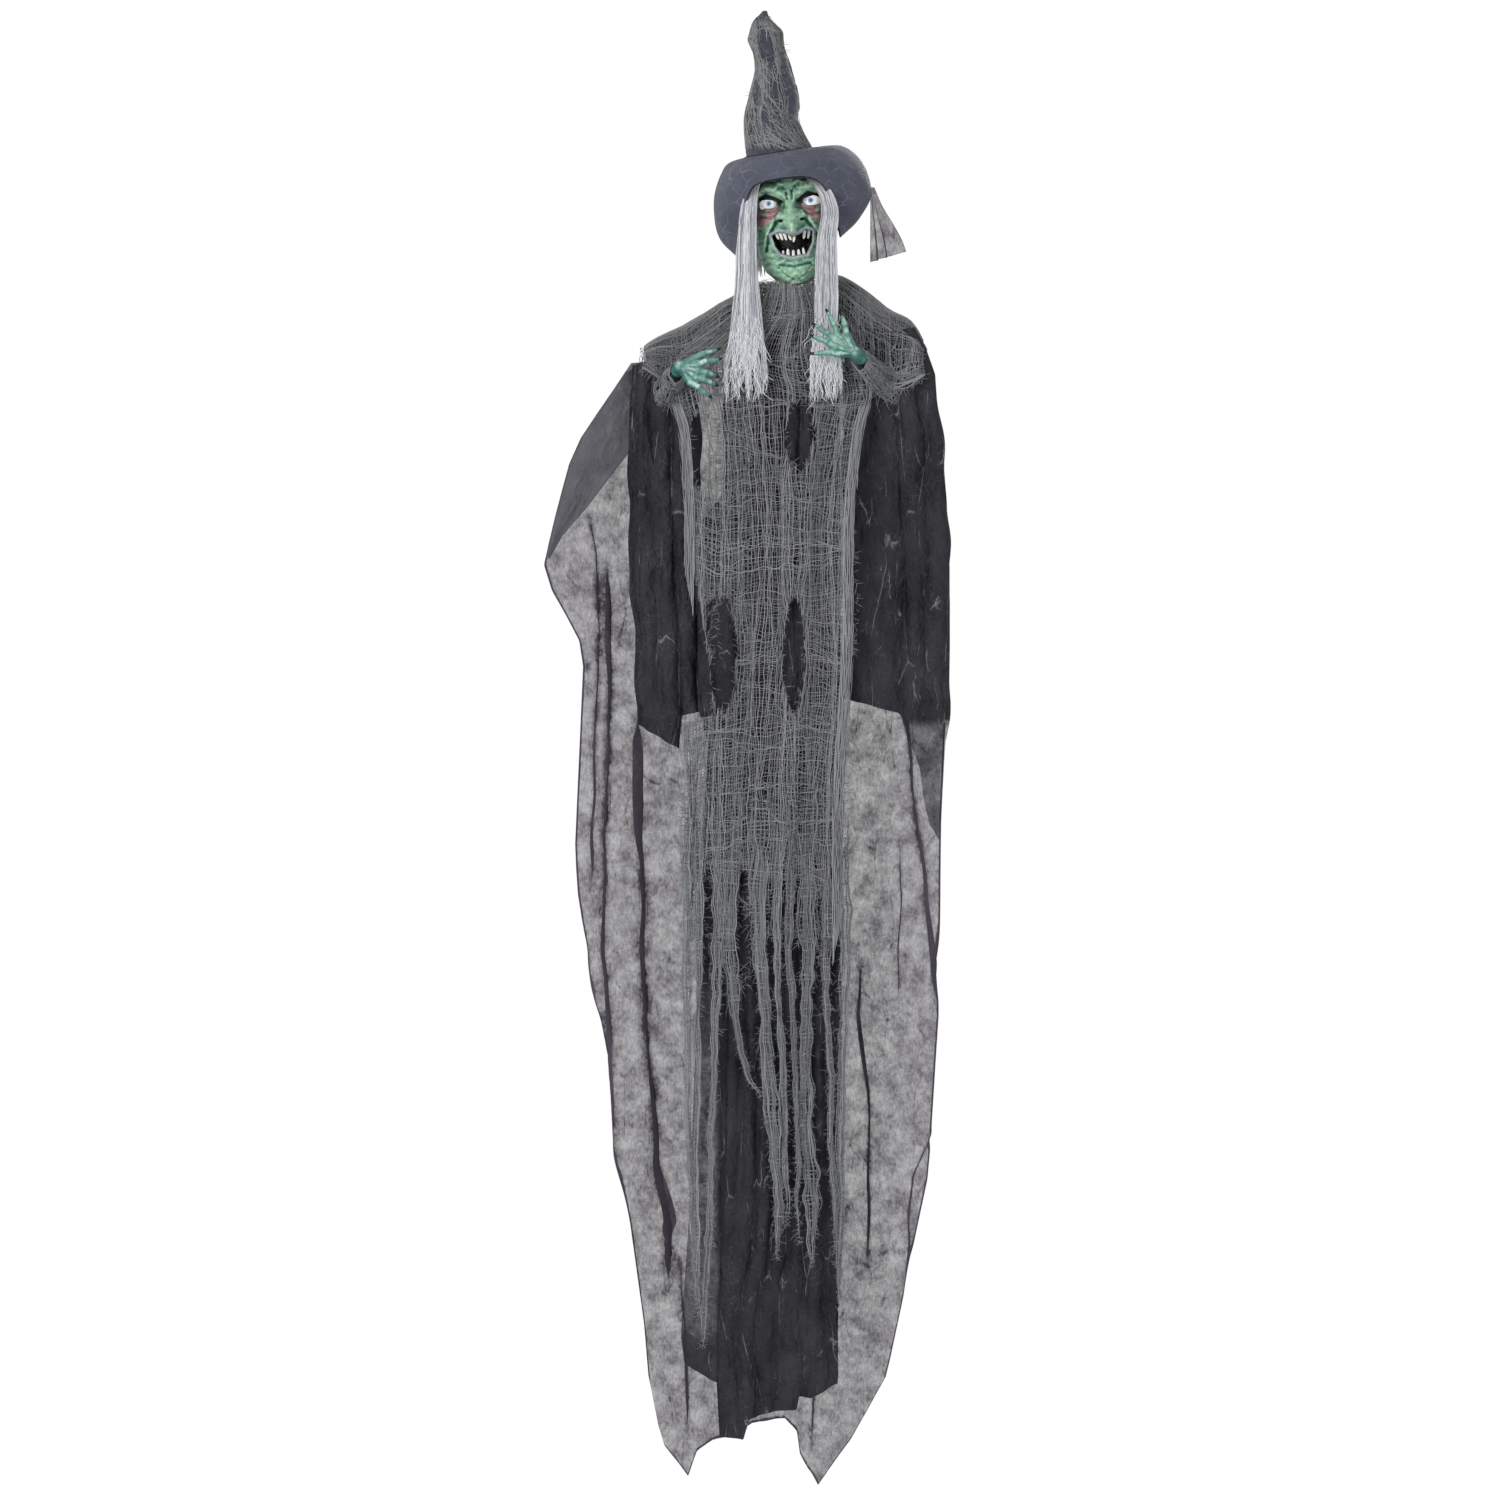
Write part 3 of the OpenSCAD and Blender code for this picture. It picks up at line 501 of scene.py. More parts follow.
def plain_material(name, tone, rough, metallic=0.0, grain=400, stretch=(1, 1, 1), wear=0.25):
    """Moulded plastic or metal with grain, slight wear and uneven gloss."""
    s = Shader(name, Metallic=metallic)
    worn = s.ramp(
        s.noise(35, 6), (0.3, tuple(c * (1 - wear) for c in tone)), (0.7, tuple(c * (1 + wear) for c in tone))
    )
    s.set(
        s.body, Base_Color=worn,
        Roughness=s.ramp(s.noise(60, 5), (0.3, rough * 0.8), (0.7, min(1, rough * 1.25)))
    )
    s.bumps(s.noise(grain, 3, 0.6, stretch), 0.25, 0.0006)
    return s.material


YARN = yarn_material()
BLACK = black_cloth_material()
SHEER = sheer_material("sheer_nonwoven", 0.56, 0.92, (0.074, 0.06, 0.08))
SHEER_DENSE = sheer_material("sheer_nonwoven_double", 0.78, 0.97, (0.09, 0.085, 0.1))
HAT = hat_material("hat_cloth", (0.068, 0.077, 0.114), (0.125, 0.137, 0.19))
HAT_DARK = hat_material("hat_cloth_dark", (0.04, 0.046, 0.068), (0.075, 0.084, 0.118))
HAT_EDGE = plain_material("hat_binding", (0.012, 0.012, 0.015), 0.7)
HAIR = hair_material()
SKIN = painted_material("mask_paint", 0.48)
NAIL = plain_material("nail_paint", (0.012, 0.012, 0.014), 0.25, wear=0.5)
TOOTH = plain_material("tooth_enamel", (0.93, 0.92, 0.88), 0.25, grain=900, wear=0.07)
# The eye paint glows a little: painted light that brightens the eyes in the shade of the lids.
EYE = painted_material("eye_paint", 0.14, 0.35)


# ---- Cloth at the back: the sheer cape ----


def cape():
    """One sheer sheet from the left edge round the back to the right edge, with folds that double back."""
    left_z, left_x, _ = outline("cape_left")
    right_z, _, right_x = outline("cape_right")
    rows, columns = 300, 318
    u = np.linspace(0, 1, columns)[None, :]
    v = np.linspace(0, 1, rows)[:, None]
    hem_u = [0, 0.035, 0.13, 0.19, 0.27, 0.33, 0.45, 0.6, 0.665, 0.7, 0.76, 0.84, 0.93, 1]
    hem_z = [-1560, -1660, -1702, -1668, -1652, -1647, -1625, -1622, -1640, -1668, -1692, -1716, -1650, -1560]
    bottom = np.interp(u, hem_u, hem_z) + 3 * noise(u * 14, 0, 31)
    top = -62 - 40 * np.abs(2 * u - 1) ** 1.5
    z = top + (bottom - top) * v
    a, b = at(z, left_z, left_x), at(z, right_z, right_x)
    x = a + (b - a) * u
    depth = 12 - 62 * np.clip((np.abs(x) - 70) / 220, 0, 1) ** 1.6
    flat = x.copy()
    fold = np.zeros(x.shape)
    folds = [  # half width, then x at falling heights
        (5, [(-304, -284), (-365, -272), (-474, -270), (-723, -276), (-868, -283)]),
        (8, [(-376, -257), (-492, -254), (-560, -253), (-723, -258), (-940, -263), (-1157, -250),
         (-1302, -240)]),
        (3, [(-434, -229), (-492, -238), (-530, -246)]),
        (12, [(-600, -214), (-911, -207), (-1104, -198), (-1200, -189), (-1250, -186), (-1335, -168),
         (-1450, -170)]),
        (4, [(-930, -286), (-1100, -262), (-1230, -250), (-1330, -228)]),
        (5, [(-1250, -190), (-1400, -150), (-1560, -143), (-1660, -140)]),
        (7, [(-560, 168), (-599, 174), (-723, 188), (-839, 202), (-955, 216), (-1030, 218)]),
        (5, [(-950, 108), (-1032, 106), (-1089, 113), (-1143, 120), (-1225, 123), (-1420, 122)]),
        (3, [(-780, 166), (-860, 168), (-1035, 163)]),
        (3, [(-1200, 214), (-1269, 186), (-1330, 181), (-1440, 172)]),
        (5, [(-1300, 96), (-1440, 60), (-1580, 40), (-1680, 40)]),
        (6, [(-120, -90), (-700, -70), (-1620, -40)]),
        (6, [(-120, 20), (-700, 30), (-1620, 0)]),
    ]
    for k, (half, path) in enumerate(folds):
        heights, places = np.array(path, float).T
        centre = np.interp(-z, -heights, places) + 2.2 * noise(z / 55, k * 3.1, 5)
        fade = smooth(-z, -heights[0] - 15, -heights[0] + 45) * smooth(z, heights[-1] - 10, heights[-1] + 70)
        s = (flat - centre) / half
        strength = fade * (2.3 + 0.9 * noise(z / 120, k * 1.7, 9))
        x = x - half * strength * s * np.exp(-s * s)
        ridge = fade * np.exp(-(s / 1.15) ** 4)
        # The fold ridges gathered here go into the hem attribute, where the cloth is painted denser and darker:
        # painted shade in the folds.
        fold = np.maximum(fold, ridge * (0.3 + 0.16 * noise(z / 30, flat / 12, 15)) * min(1.0, half / 6))
        depth = depth + half * 0.9 * ridge
    depth = (
        depth + 4 * rough_noise(u * 16, v * 22, 11) + 5 * crumple(x, z, 70, 14)
        + 1.0 * noise(u * 60, v * 60, 12)
    )
    x = x + 1.8 * noise(u * 5, v * 28, 13) * np.sin(math.pi * u) ** 0.5
    obj = grid_piece("sheer_cape", np.stack([x, depth, z], axis=-1), SHEER)
    # The hem attribute gives denser, darker cloth: real along the edges, painted shade along the fold ridges.
    edge = np.zeros((rows, columns), np.float32)
    edge[:, :2] = edge[:, -2:] = edge[-1:, :] = 0.45
    paint(obj, "hem", np.maximum(edge, fold).ravel())
    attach(obj, "torso")
    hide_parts("cape_back", "cape_left", "cape_right")


def hanging_grid(left, right, top, bottom, front, rows, columns, folds, depth, seed):
    """Points of hanging, creased cloth; left and right are given by height, top and bottom by u."""
    u = np.linspace(0, 1, columns)[None, :]
    v = np.linspace(0, 1, rows)[:, None]
    z = top(u) + (bottom(u) - top(u)) * v
    x = left(z) + (right(z) - left(z)) * u
    phase = (
        folds * (u + 0.06 * noise(z / 220, u * 2, seed) + 0.02 * noise(z / 60, u * 3, seed + 3)) * 2 * math.pi
    )
    swell = 0.55 + 0.45 * noise(u * folds * 0.8, z / 260, seed + 1)
    y = front + depth * swell * np.sin(phase) + depth * 0.4 * rough_noise(u * folds * 1.5, z / 70, seed + 2)
    y = y + 7 * (0.5 - crumple(x, z, 55, seed + 4)) + 3 * (0.5 - crumple(x, z, 21, seed + 5))
    x = x + depth * 0.8 * swell * np.cos(phase) * np.sin(math.pi * u) ** 0.3
    return np.stack([x, y, z], axis=-1)


# ---- Black cloth: under-robe, sleeves and the fold beside the left sleeve ----


def under_robe():
    """The black robe: its long front and its shoulders under the gauze, as one garment."""
    low, high = box("robe_front")
    corner = [0, 0.02, 0.19, 0.22, 0.235, 0.4, 0.43, 0.58, 0.72, 0.735, 0.82, 0.985, 1]
    hem = [-1500, -1537, -1561, -1564, -1642, -1647, -1617, -1606, -1604, -1584, -1587, -1565, -1500]
    edge_z = [52, 130, 280, 330, 590, 640, 900, 1300, 1490, 1560, 1650]
    edge_left = [-60, -82, -90, -126, -126, -112, -124, -137, -150, -150, -150]
    edge_right = [60, 78, 80, 80, 80, 80, 80, 84, 76, 80, 80]
    front = hanging_grid(
        lambda z: np.interp(-z, edge_z, edge_left), lambda z: np.interp(-z, edge_z, edge_right),
        lambda u: -45 + 0 * u, lambda u: np.interp(u, corner, hem),
        (low[1] + high[1]) / 2, 300, 170, 8, 4.5, 41,
    )
    grids = [front]
    for side in (-1, 1):
        u = np.linspace(0, 1, 60)[None, :] + np.zeros((60, 1))
        v = np.linspace(0.04, 0.96, 60)[:, None] + np.zeros((1, 60))
        grids.append(cowl_surface(side, u, v, 9))
    obj = grids_piece("under_robe", grids, BLACK)
    thin = np.zeros(sum(g.shape[0] * g.shape[1] for g in grids), np.float32)
    x, z = front[..., 0].ravel(), front[..., 2].ravel()
    thin[: len(x)] = 0.75 * smooth(-x, 92, 104) * smooth(-z, 950, 1150) * smooth(z, -1520, -1470)
    paint(obj, "sheer", thin)
    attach(obj, "torso")
    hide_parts("robe_front")


LEFT_SLEEVE = [  # height, left edge and right edge
    (-60, -214, -118), (-90, -222, -120), (-150, -227, -122), (-234, -227, -120), (-427, -227, -112),
    (-477, -217, -108), (-651, -215, -104),
]
RIGHT_SLEEVE = [
    (-36, 82, 186), (-72, 82, 206), (-108, 82, 219), (-145, 82, 222), (-217, 82, 231), (-290, 82, 236),
    (-434, 83, 239),
    (-580, 84, 238), (-790, 88, 224),
]


def sleeve(side, top_line, edges, hem):
    """A wide hanging sleeve. edges gives its left and right x by height, and hem its lower edge across."""
    label = "left" if side < 0 else "right"
    low, high = box(f"sleeve_{label}")
    heights, left, right = np.array(edges, float).T
    points = hanging_grid(
        lambda z: np.interp(-z, -heights, left) + 3 * noise(z / 50, 0, 52),
        lambda z: np.interp(-z, -heights, right) + 3 * noise(z / 50, 3, 53),
        lambda u: np.interp(u, [0, 1], top_line), lambda u: np.interp(u, *hem),
        (low[1] + high[1]) / 2, 200, 120, 4, 5, 60 + side,
    )
    obj = grid_piece(f"sleeve_{label}_cloth", points, BLACK)
    paint(obj, "sheer", smooth(-points[..., 2], 606, 622).ravel() * (side > 0))
    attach(obj, "torso")
    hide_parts(f"sleeve_{label}")


def sleeve_wing():
    """The corner of the left sleeve that stands out from the shoulder and doubles back."""
    heights, left, _ = outline("cape_left")
    rows, columns = 150, 90
    s = np.linspace(0, 1, rows)[:, None]
    t = np.linspace(0, 1, columns)[None, :]
    z_edge = -92 - 282 * s
    outer = np.stack([at(z_edge, heights, left) + 1.0, z_edge], axis=-1)
    drop = np.interp(s, [0, 0.45, 0.62, 0.8, 1], [0, -118, -210, -252, -284])
    inner = np.stack(
        [np.interp(s, [0, 0.45, 0.62, 0.8, 1], [-205, -216, -286, -322, -340]), -90 + drop], axis=-1
    )
    flat = inner * (1 - t[..., None]) + outer * t[..., None]
    x, z = flat[..., 0], flat[..., 1]
    y = -66 - 8 * t - 8 * crumple(x - z * 0.5, z + x * 0.5, 50, 72) + 5 * np.sin(5 * t + 2 * s)
    obj = grid_piece("sleeve_wing", np.stack([x, y, z], axis=-1), SHEER_DENSE)
    edge = np.zeros((rows, columns), np.float32)
    edge[:, :3] = edge[:, -2:] = 0.3
    paint(obj, "hem", edge.ravel())
    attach(obj, "torso")


GAUZE_TEARS = [  # centre x and z, half width and half height
    (-124, -218, 13, 58), (21, -196, 20, 52), (-88, -512, 20, 88), (12, -512, 17, 86), (-104, -470, 9, 40),
    (98, -440, 5, 70), (-108, -866, 7, 56), (-62, -930, 12, 62), (20, -880, 6, 50), (48, -900, 5, 50),
]

BANDS = {  # height, centre x and width down each torn band of gauze
    "left": [
        [(-790, -144, 18), (-911, -142, 15), (-1104, -139, 12), (-1249, -136, 10), (-1345, -132, 10),
         (-1470, -124, 7)],
        [(-790, -123, 14), (-911, -124, 11), (-1104, -125, 8), (-1249, -127, 7), (-1400, -126, 9),
         (-1465, -124, 5)],
        [(-790, -98, 16), (-911, -96, 17), (-1104, -103, 10), (-1249, -108, 8), (-1400, -113, 10),
         (-1512, -119, 3)],
    ],
    "centre": [
        [(-790, -74, 18), (-911, -80, 19), (-980, -77, 16), (-1040, -71, 10), (-1100, -60, 8),
         (-1135, -46, 8), (-1152, -30, 8)],
        [(-790, -36, 28), (-911, -37, 22), (-1030, -29, 18), (-1170, -19, 20), (-1249, -13, 18),
         (-1330, -8, 14), (-1385, -10, 3)],
        [(-790, -10, 16), (-911, -12, 14), (-1030, -8, 9), (-1120, -2, 8), (-1230, 1, 9), (-1340, 3, 6)],
        [(-790, 10, 14), (-911, 6, 11), (-1030, 10, 9), (-1104, 14, 8), (-1200, 17, 9), (-1300, 18, 6),
         (-1365, 19, 3)],
        [(-790, 32, 30), (-911, 34, 25), (-1000, 31, 20), (-1104, 30, 15), (-1190, 31, 20),
         (-1330, 40, 17), (-1402, 35, 3)],
    ],
    "right": [
        [(-790, 58, 16), (-911, 61, 15), (-1040, 60, 11), (-1130, 66, 9), (-1200, 64, 9), (-1300, 72, 9),
         (-1400, 76, 5)],
        [(-790, 84, 22), (-911, 86, 20), (-1104, 82, 14), (-1200, 80, 12), (-1310, 80, 10), (-1400, 78, 7),
         (-1462, 76, 3)],
    ],
}


def in_band(x, z):
    """True where a point of the front panel belongs to one of the bands it is torn into below."""
    found = np.zeros(x.shape, bool)
    for bands in BANDS.values():
        for band in bands:
            heights, middle, width = np.array(band, float).T
            found |= np.abs(x - np.interp(-z, -heights, middle)) < np.interp(-z, -heights, width) * 0.62
    return found


# ---- Gauze ----


def front_gauze():
    """The long front panel: open weave, denser at its sides, torn in places and split into bands below."""
    low, high = box("gauze_front")
    top, bottom = 26, low[2] + 15
    length, width = top - bottom, 250
    middle_y = (low[1] + high[1]) / 2
    edge_z = [26, -20, -60, -95, -130, -188, -260, -500, -720, -930]
    edge_left = [-48, -78, -128, -176, -172, -156, -150, -150, -151, -152]
    edge_right = [50, 74, 92, 116, 128, 116, 106, 100, 86, 86]
    ragged_z = [-330, -383, -440, -492, -540, -600, -612]
    ragged_x = [-160, -140, -124, -116, -108, -106, -160]

    def surface(u, v, back=0.0):
        z = top + (bottom - top) * v
        start, end = (curve(-z, -np.array(edge_z), edge) for edge in (edge_left, edge_right))
        x = start + (end - start) * u
        fold = 3 * np.sin(u * 19 + 2 * noise(v * 3, 1, 80)) + 2 * rough_noise(u * 6, v * 14, 81)
        neck = smooth(z, -45, 26) * (16 + 24 * (x / 60) ** 2)
        return np.stack([x, middle_y + fold * smooth(-z, -10, 60) + back + np.minimum(neck, 34), z], axis=-1)

    def keep(u, v, warp):
        p = surface(u, v)
        x, z = p[:, 0], p[:, 2]
        good = (u > 0) & (u < 1) & ((z > -830 + 40 * noise(x / 18, 0, 83)) | in_band(x, z))
        good &= x > np.interp(-z, -np.array(ragged_z), ragged_x) + 5 * noise(z / 7, x / 9, 88)
        for k, (cx, cz, half_w, half_h) in enumerate(GAUZE_TEARS):
            ragged = 1 + 0.35 * noise(x / 5 + k, z / 9, 82) - (0.25 if warp else 0)
            good &= np.abs((x - cx) / half_w) ** 2 + np.abs((z - cz) / half_h) ** 2.5 > ragged
        return good

    sides = lambda u, v, warp: keep(u, v, warp) & ((u < 0.43) | (u > 0.56)) & (v > 0.06)
    front = Threads()
    weave(front, surface, 92, 258, length, width, keep, 84, (0.64, 0.46), 1.15)
    for side, edge, foot in ((1, edge_left, -395), (-1, edge_right, -900)):
        for k in range(9):
            z = np.arange(-150, foot - 8 * k, -7.0)
            x = curve(-z, -np.array(edge_z), edge) + side * (3 + 1.7 * k) + 0.9 * noise(z / 14, k, 85)
            front.add(
                np.stack([x, middle_y - 4 + 1.5 * noise(z / 20, k, 86), z], axis=-1), 0.95, 0.5 + 0.05 * k
            )
    for k, (cx, cz, half_w, half_h) in enumerate(GAUZE_TEARS):
        t = np.linspace(0, 2 * math.pi, 60)
        rim = np.stack([cx + half_w * np.cos(t), middle_y - 3 + 0 * t, cz + half_h * np.sin(t)], axis=-1)
        fuzz(front, rim, 300 + k, 2.2, 9, 0.32)
    back = Threads()
    weave(back, lambda u, v: surface(u, v, 4.0), 96, 225, length, width, sides, 87, (0.66, 0.5), 1.8)
    for threads, name in ((front, "gauze_panel_front"), (back, "gauze_panel_back")):
        obj = threads.piece(name, YARN)
        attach(obj, "torso")
        if threads is front:
            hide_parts("gauze_front")


def band_threads(threads, band, y, seed):
    """One torn band: close wavy warps, short crossing threads and loose fibres along its edges."""
    rng = np.random.default_rng(seed)
    heights, middle, width = np.array(band, float).T
    z = np.arange(heights[0] + 90, heights[-1], -6.0)
    x0 = curve(-z, -heights, middle) + 1.8 * noise(z / 50, seed, 92) + 1.1 * noise(z / 17, seed, 97)
    half = curve(-z, -heights, width) / 2 * (1 + 0.3 * noise(z / 20, seed, 95))
    y0 = y + 2.2 * noise(z / 70, seed, 93)
    twist = 0.8 * noise(z / 100, seed, 94)
    warps = max(5, int(max(width) / 1.6))
    for k in range(warps):
        place = 2 * (k + 0.5) / warps - 1 + 0.25 * noise(z / 45, k * 0.7 + seed, 98)
        x = x0 + half * place * np.cos(twist) + 0.7 * noise(z / 11, k + seed, 96)
        depth = y0 + half * 0.5 * place * np.sin(twist) + 0.65 * rng.normal()
        start, end = int(rng.integers(0, 22)), len(z) - int(rng.integers(0, 12))
        threads.add(np.stack([x, depth, z], axis=-1)[start:end], 0.8, rng.random())
    t = np.linspace(-1, 1, 5)
    for _ in range(int((heights[0] - heights[-1]) / 3.4)):
        i = rng.integers(len(z))
        reach = half[i] * rng.uniform(0.7, 1.25)
        slant = z[i] + rng.normal(0, 2.5) * t
        cross = np.stack([x0[i] + t * reach, y0[i] - 1.2 + rng.normal(0, 0.4, 5), slant], axis=-1)
        threads.add(cross, 0.55, rng.random())
    for side in (-1, 1):
        edge = np.stack([x0 + side * half * 0.9, y0 - 1, z], axis=-1)
        fuzz(threads, edge, seed + side, 2.2, 6.5, 0.28)
    return float(((heights[:-1] - heights[1:]) * (width[:-1] + width[1:]) / 2).sum())


def gauze_strips():
    """The frayed bands that hang below the front panel, in three bundles."""
    low, high = box("gauze_front")
    for k, (side, bands) in enumerate(BANDS.items()):
        threads = Threads()
        area = sum(
            band_threads(threads, band, (low[1] + high[1]) / 2 - 2 * (j % 2), 500 + 20 * k + j)
            for j, band in enumerate(bands)
        )
        obj = threads.piece(f"gauze_strips_{side}_threads", YARN)
        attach(obj, "torso")
        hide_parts(f"gauze_strips_{side}")


def cowl_surface(side, u, v, inside=0.0):
    """Points of the gauze over a shoulder, u outward from the neck and v from front hem to back."""
    low, high = box("cowl_left" if side < 0 else "cowl_right")
    tip = max(abs(low[0]), abs(high[0]))
    if side < 0:
        line_x, line_z = [30, 50, 72, 94, 116, 137, 180, tip + 2], [12, 14, 8, -4, -20, -31, -52, -72]
        hem_x, hem_z = [34, 90, 120, 150, 180, tip + 2], [-70, -96, -128, -150, -126, -98]
    else:
        line_x, line_z = [30, 54, 74, 86, 97, 117, 152, 188, tip + 2], [10, 16, 37, 34, 27, 12, -13, -38, -70]
        hem_x, hem_z = [34, 80, 100, 140, 180, tip + 2], [-60, -84, -120, -146, -140, -112]
    x = 34 + (tip - 32) * u - inside * u
    a = (v - 0.5) * 3.0
    ridge = curve(x, line_x, line_z) - inside * 0.8
    hem = np.where(a < 0, curve(x, hem_x, hem_z) + inside * 1.5, -90)
    arm_y = joint_point("arm_swing_left")[1]
    reach = np.where(a > 0, 46, 66) * (0.5 + 0.5 * smooth(x, 30, 90)) - inside
    fold = 2.6 * np.sin(u * 15 + 1.6 * np.sin(v * 6)) + 1.6 * rough_noise(u * 7, v * 9, 101)
    y = arm_y + (reach + fold) * np.sin(a)
    z = ridge + (hem - ridge) * (1 - np.cos(a)) ** 1.3 + fold * np.cos(a) * 0.5
    return np.stack([side * x, y, z], axis=-1)


def cowl(side):
    """Gauze over one shoulder, from the neck out to the shoulder's tip, with a frayed lower edge."""
    node = "cowl_left" if side < 0 else "cowl_right"
    surface = lambda u, v: cowl_surface(side, u, v)

    def keep(u, v, warp):
        frayed = 0.012 + 0.015 * noise(u * 30, 0, 103)
        return (v > frayed) & (v < 1 - frayed) & (u > 0) & (u < 1)

    threads = Threads()
    weave(threads, surface, 58, 104, 330, 180, keep, 104 + side, (0.62, 0.55), 1.4)
    weave(
        threads, lambda u, v: surface(u, v) - [0, 0, 3], 40, 66, 330, 180, keep, 114 + side, (0.6, 0.5), 1.8
    )
    u = np.linspace(0.02, 0.98, 60)
    for k in range(6):
        v = 0.012 + 0.007 * k + 0.006 * noise(u * 12, k, 106)
        threads.add(surface(u, v) + [0, -1, -1.2 * k], 0.95, 0.6)
    fuzz(threads, surface(u, 0.01 + 0 * u), 107, 1.6, 13, 0.32)
    obj = threads.piece(node + "_gauze", YARN)
    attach(obj, "torso")
    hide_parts(node)


def neck_gauze():
    """Gauze wound round the neck in slack horizontal folds."""
    low, high = box("neck_wrap")
    radius = (high[0] - low[0]) / 2

    def surface(u, v):
        t = u * 2 * math.pi - math.pi / 2
        r = radius - 1 + 2.2 * np.sin(v * 14 + 1.2 * np.sin(t * 2)) + 14 * v**1.5
        x = 6 * (1 - v) + (r + 8 * (1 - v)) * np.cos(t)
        z = high[2] + 18 + (low[2] - 23 - high[2]) * v + 5 * np.sin(t + 0.6) * v
        return np.stack([x, NECK[1] + r * np.sin(t), z], axis=-1)

    threads = Threads()
    keep = lambda u, v, warp: (v > 0) & (v < 1)
    weave(threads, surface, 90, 34, 110, 300, keep, 121, (0.62, 0.55), 1.3)
    weave(threads, lambda u, v: surface(u, v) * [0.95, 1, 1], 76, 26, 110, 300, keep, 122, (0.62, 0.55), 1.6)
    obj = threads.piece("neck_gauze", YARN)
    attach(obj, "torso")
    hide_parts("neck_wrap")


def arm_gauze(side):
    """Loose gauze round the elbow and forearm, gathered in hanging folds, with a frayed cuff at the wrist."""
    label = "left" if side < 0 else "right"
    wrist = joint_point(f"hand_swivel_{label}")
    shoulder = joint_point(f"arm_swing_{label}")
    low, _ = box(f"arm_rod_{label}")
    elbow = np.array([shoulder[0], shoulder[1], low[2] + 5.5])
    path = np.array(
        [elbow + [side * 2, -4, 32], elbow + [side * 3, -8, 8], elbow * 0.45 + wrist * 0.55 + [0, 0, 1],
         wrist]
    )
    sizes = np.array([16, 23, 15, 11.0])

    def surface(u, v):
        t = u * 2 * math.pi
        places = [0, 0.35, 0.75, 1]
        centre = np.stack([curve(v, places, path[:, k]) for k in range(3)], axis=-1)
        sag = (4 + 16 * np.sin(math.pi * np.clip(v, 0, 1))) * (0.5 - 0.5 * np.sin(t))
        r = curve(v, places, sizes) + 1.8 * np.sin(34 * v + 2.5 * np.cos(t)) + 1.2 * noise(t * 2, v * 8, 131)
        x = centre[:, 0] + r * np.cos(t)
        return np.stack(
            [x, centre[:, 1] - 0.4 * r * np.cos(t) * side, centre[:, 2] + r * np.sin(t) - sag], axis=-1
        )

    threads = Threads()
    keep = lambda u, v, warp: (v >= 0) & (v <= 1)
    weave(threads, surface, 52, 56, 165, 140, keep, 132 + side, (0.62, 0.6), 1.4)
    weave(
        threads, lambda u, v: surface(u, v) + [0, 0, -2.5], 36, 34, 165, 140, keep, 142 + side,
        (0.6, 0.55), 1.8
    )
    u = np.linspace(0, 1, 50)
    for k in range(5):
        threads.add(surface(u, 0.965 + 0.009 * k + 0.01 * noise(u * 9, k, 133)), 0.95, 0.6)
    low_side = np.linspace(0.1, 0.85, 60)
    fuzz(threads, surface(0.75 + 0 * low_side, low_side), 134, 1.0, 15, 0.33)
    obj = threads.piece(f"arm_gauze_{label}_threads", YARN)
    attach(obj, f"arm_{label}")
    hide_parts(f"arm_gauze_{label}")


# ---- Hat ----

CROWN = np.array([  # height, left edge and right edge as seen from the front, half depth
    (418, -33, -25, 4), (405, -44, -20, 12), (388, -50, -4, 20), (376, -53, -3, 22), (360, -46, 0, 24),
    (345, -43, 6, 27), (330, -43, 10, 31), (316, -46, 15, 34), (302, -50, 19, 38), (289, -53, 21, 42),
    (275, -57, 20, 46), (260, -59, 19, 49), (245, -59, 26, 53), (230, -58, 34, 58), (215, -57, 42, 63),
    (205, -57, 44, 65),
])


def crown_point(t, z, out=0.0):
    """A point of the crooked cone at angle t and height z, out millimetres off its surface."""
    z = np.asarray(z, float)
    left, right, deep = (curve(-z, -CROWN[:, 0], CROWN[:, k]) for k in (1, 2, 3))
    middle, half = (left + right) / 2, (right - left) / 2 - 1.5
    crease = 1 + 0.04 * np.sin(3 * t + z / 21) + 0.035 * noise(t * 2.2, z / 17, 151)
    x = middle + (half * (0.97 + 0.03 * crease) + out) * np.cos(t)
    y = NECK[1] + (deep * crease + out) * np.sin(t)
    return np.stack([x, y, z + 0 * t], axis=-1)


def hat_crown():
    rows, columns = 110, 96
    t = np.linspace(0, 2 * math.pi, columns, endpoint=False)[None, :]
    z = np.linspace(CROWN[-1, 0], CROWN[0, 0], rows)[:, None]
    t, z = np.broadcast_arrays(t, z)
    obj = grid_piece("hat_crown_cloth", crown_point(t, z)[:, ::-1], HAT_DARK, closed=True)
    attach(obj, "head")
    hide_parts("hat_crown")
    thicken(obj, 1.2)


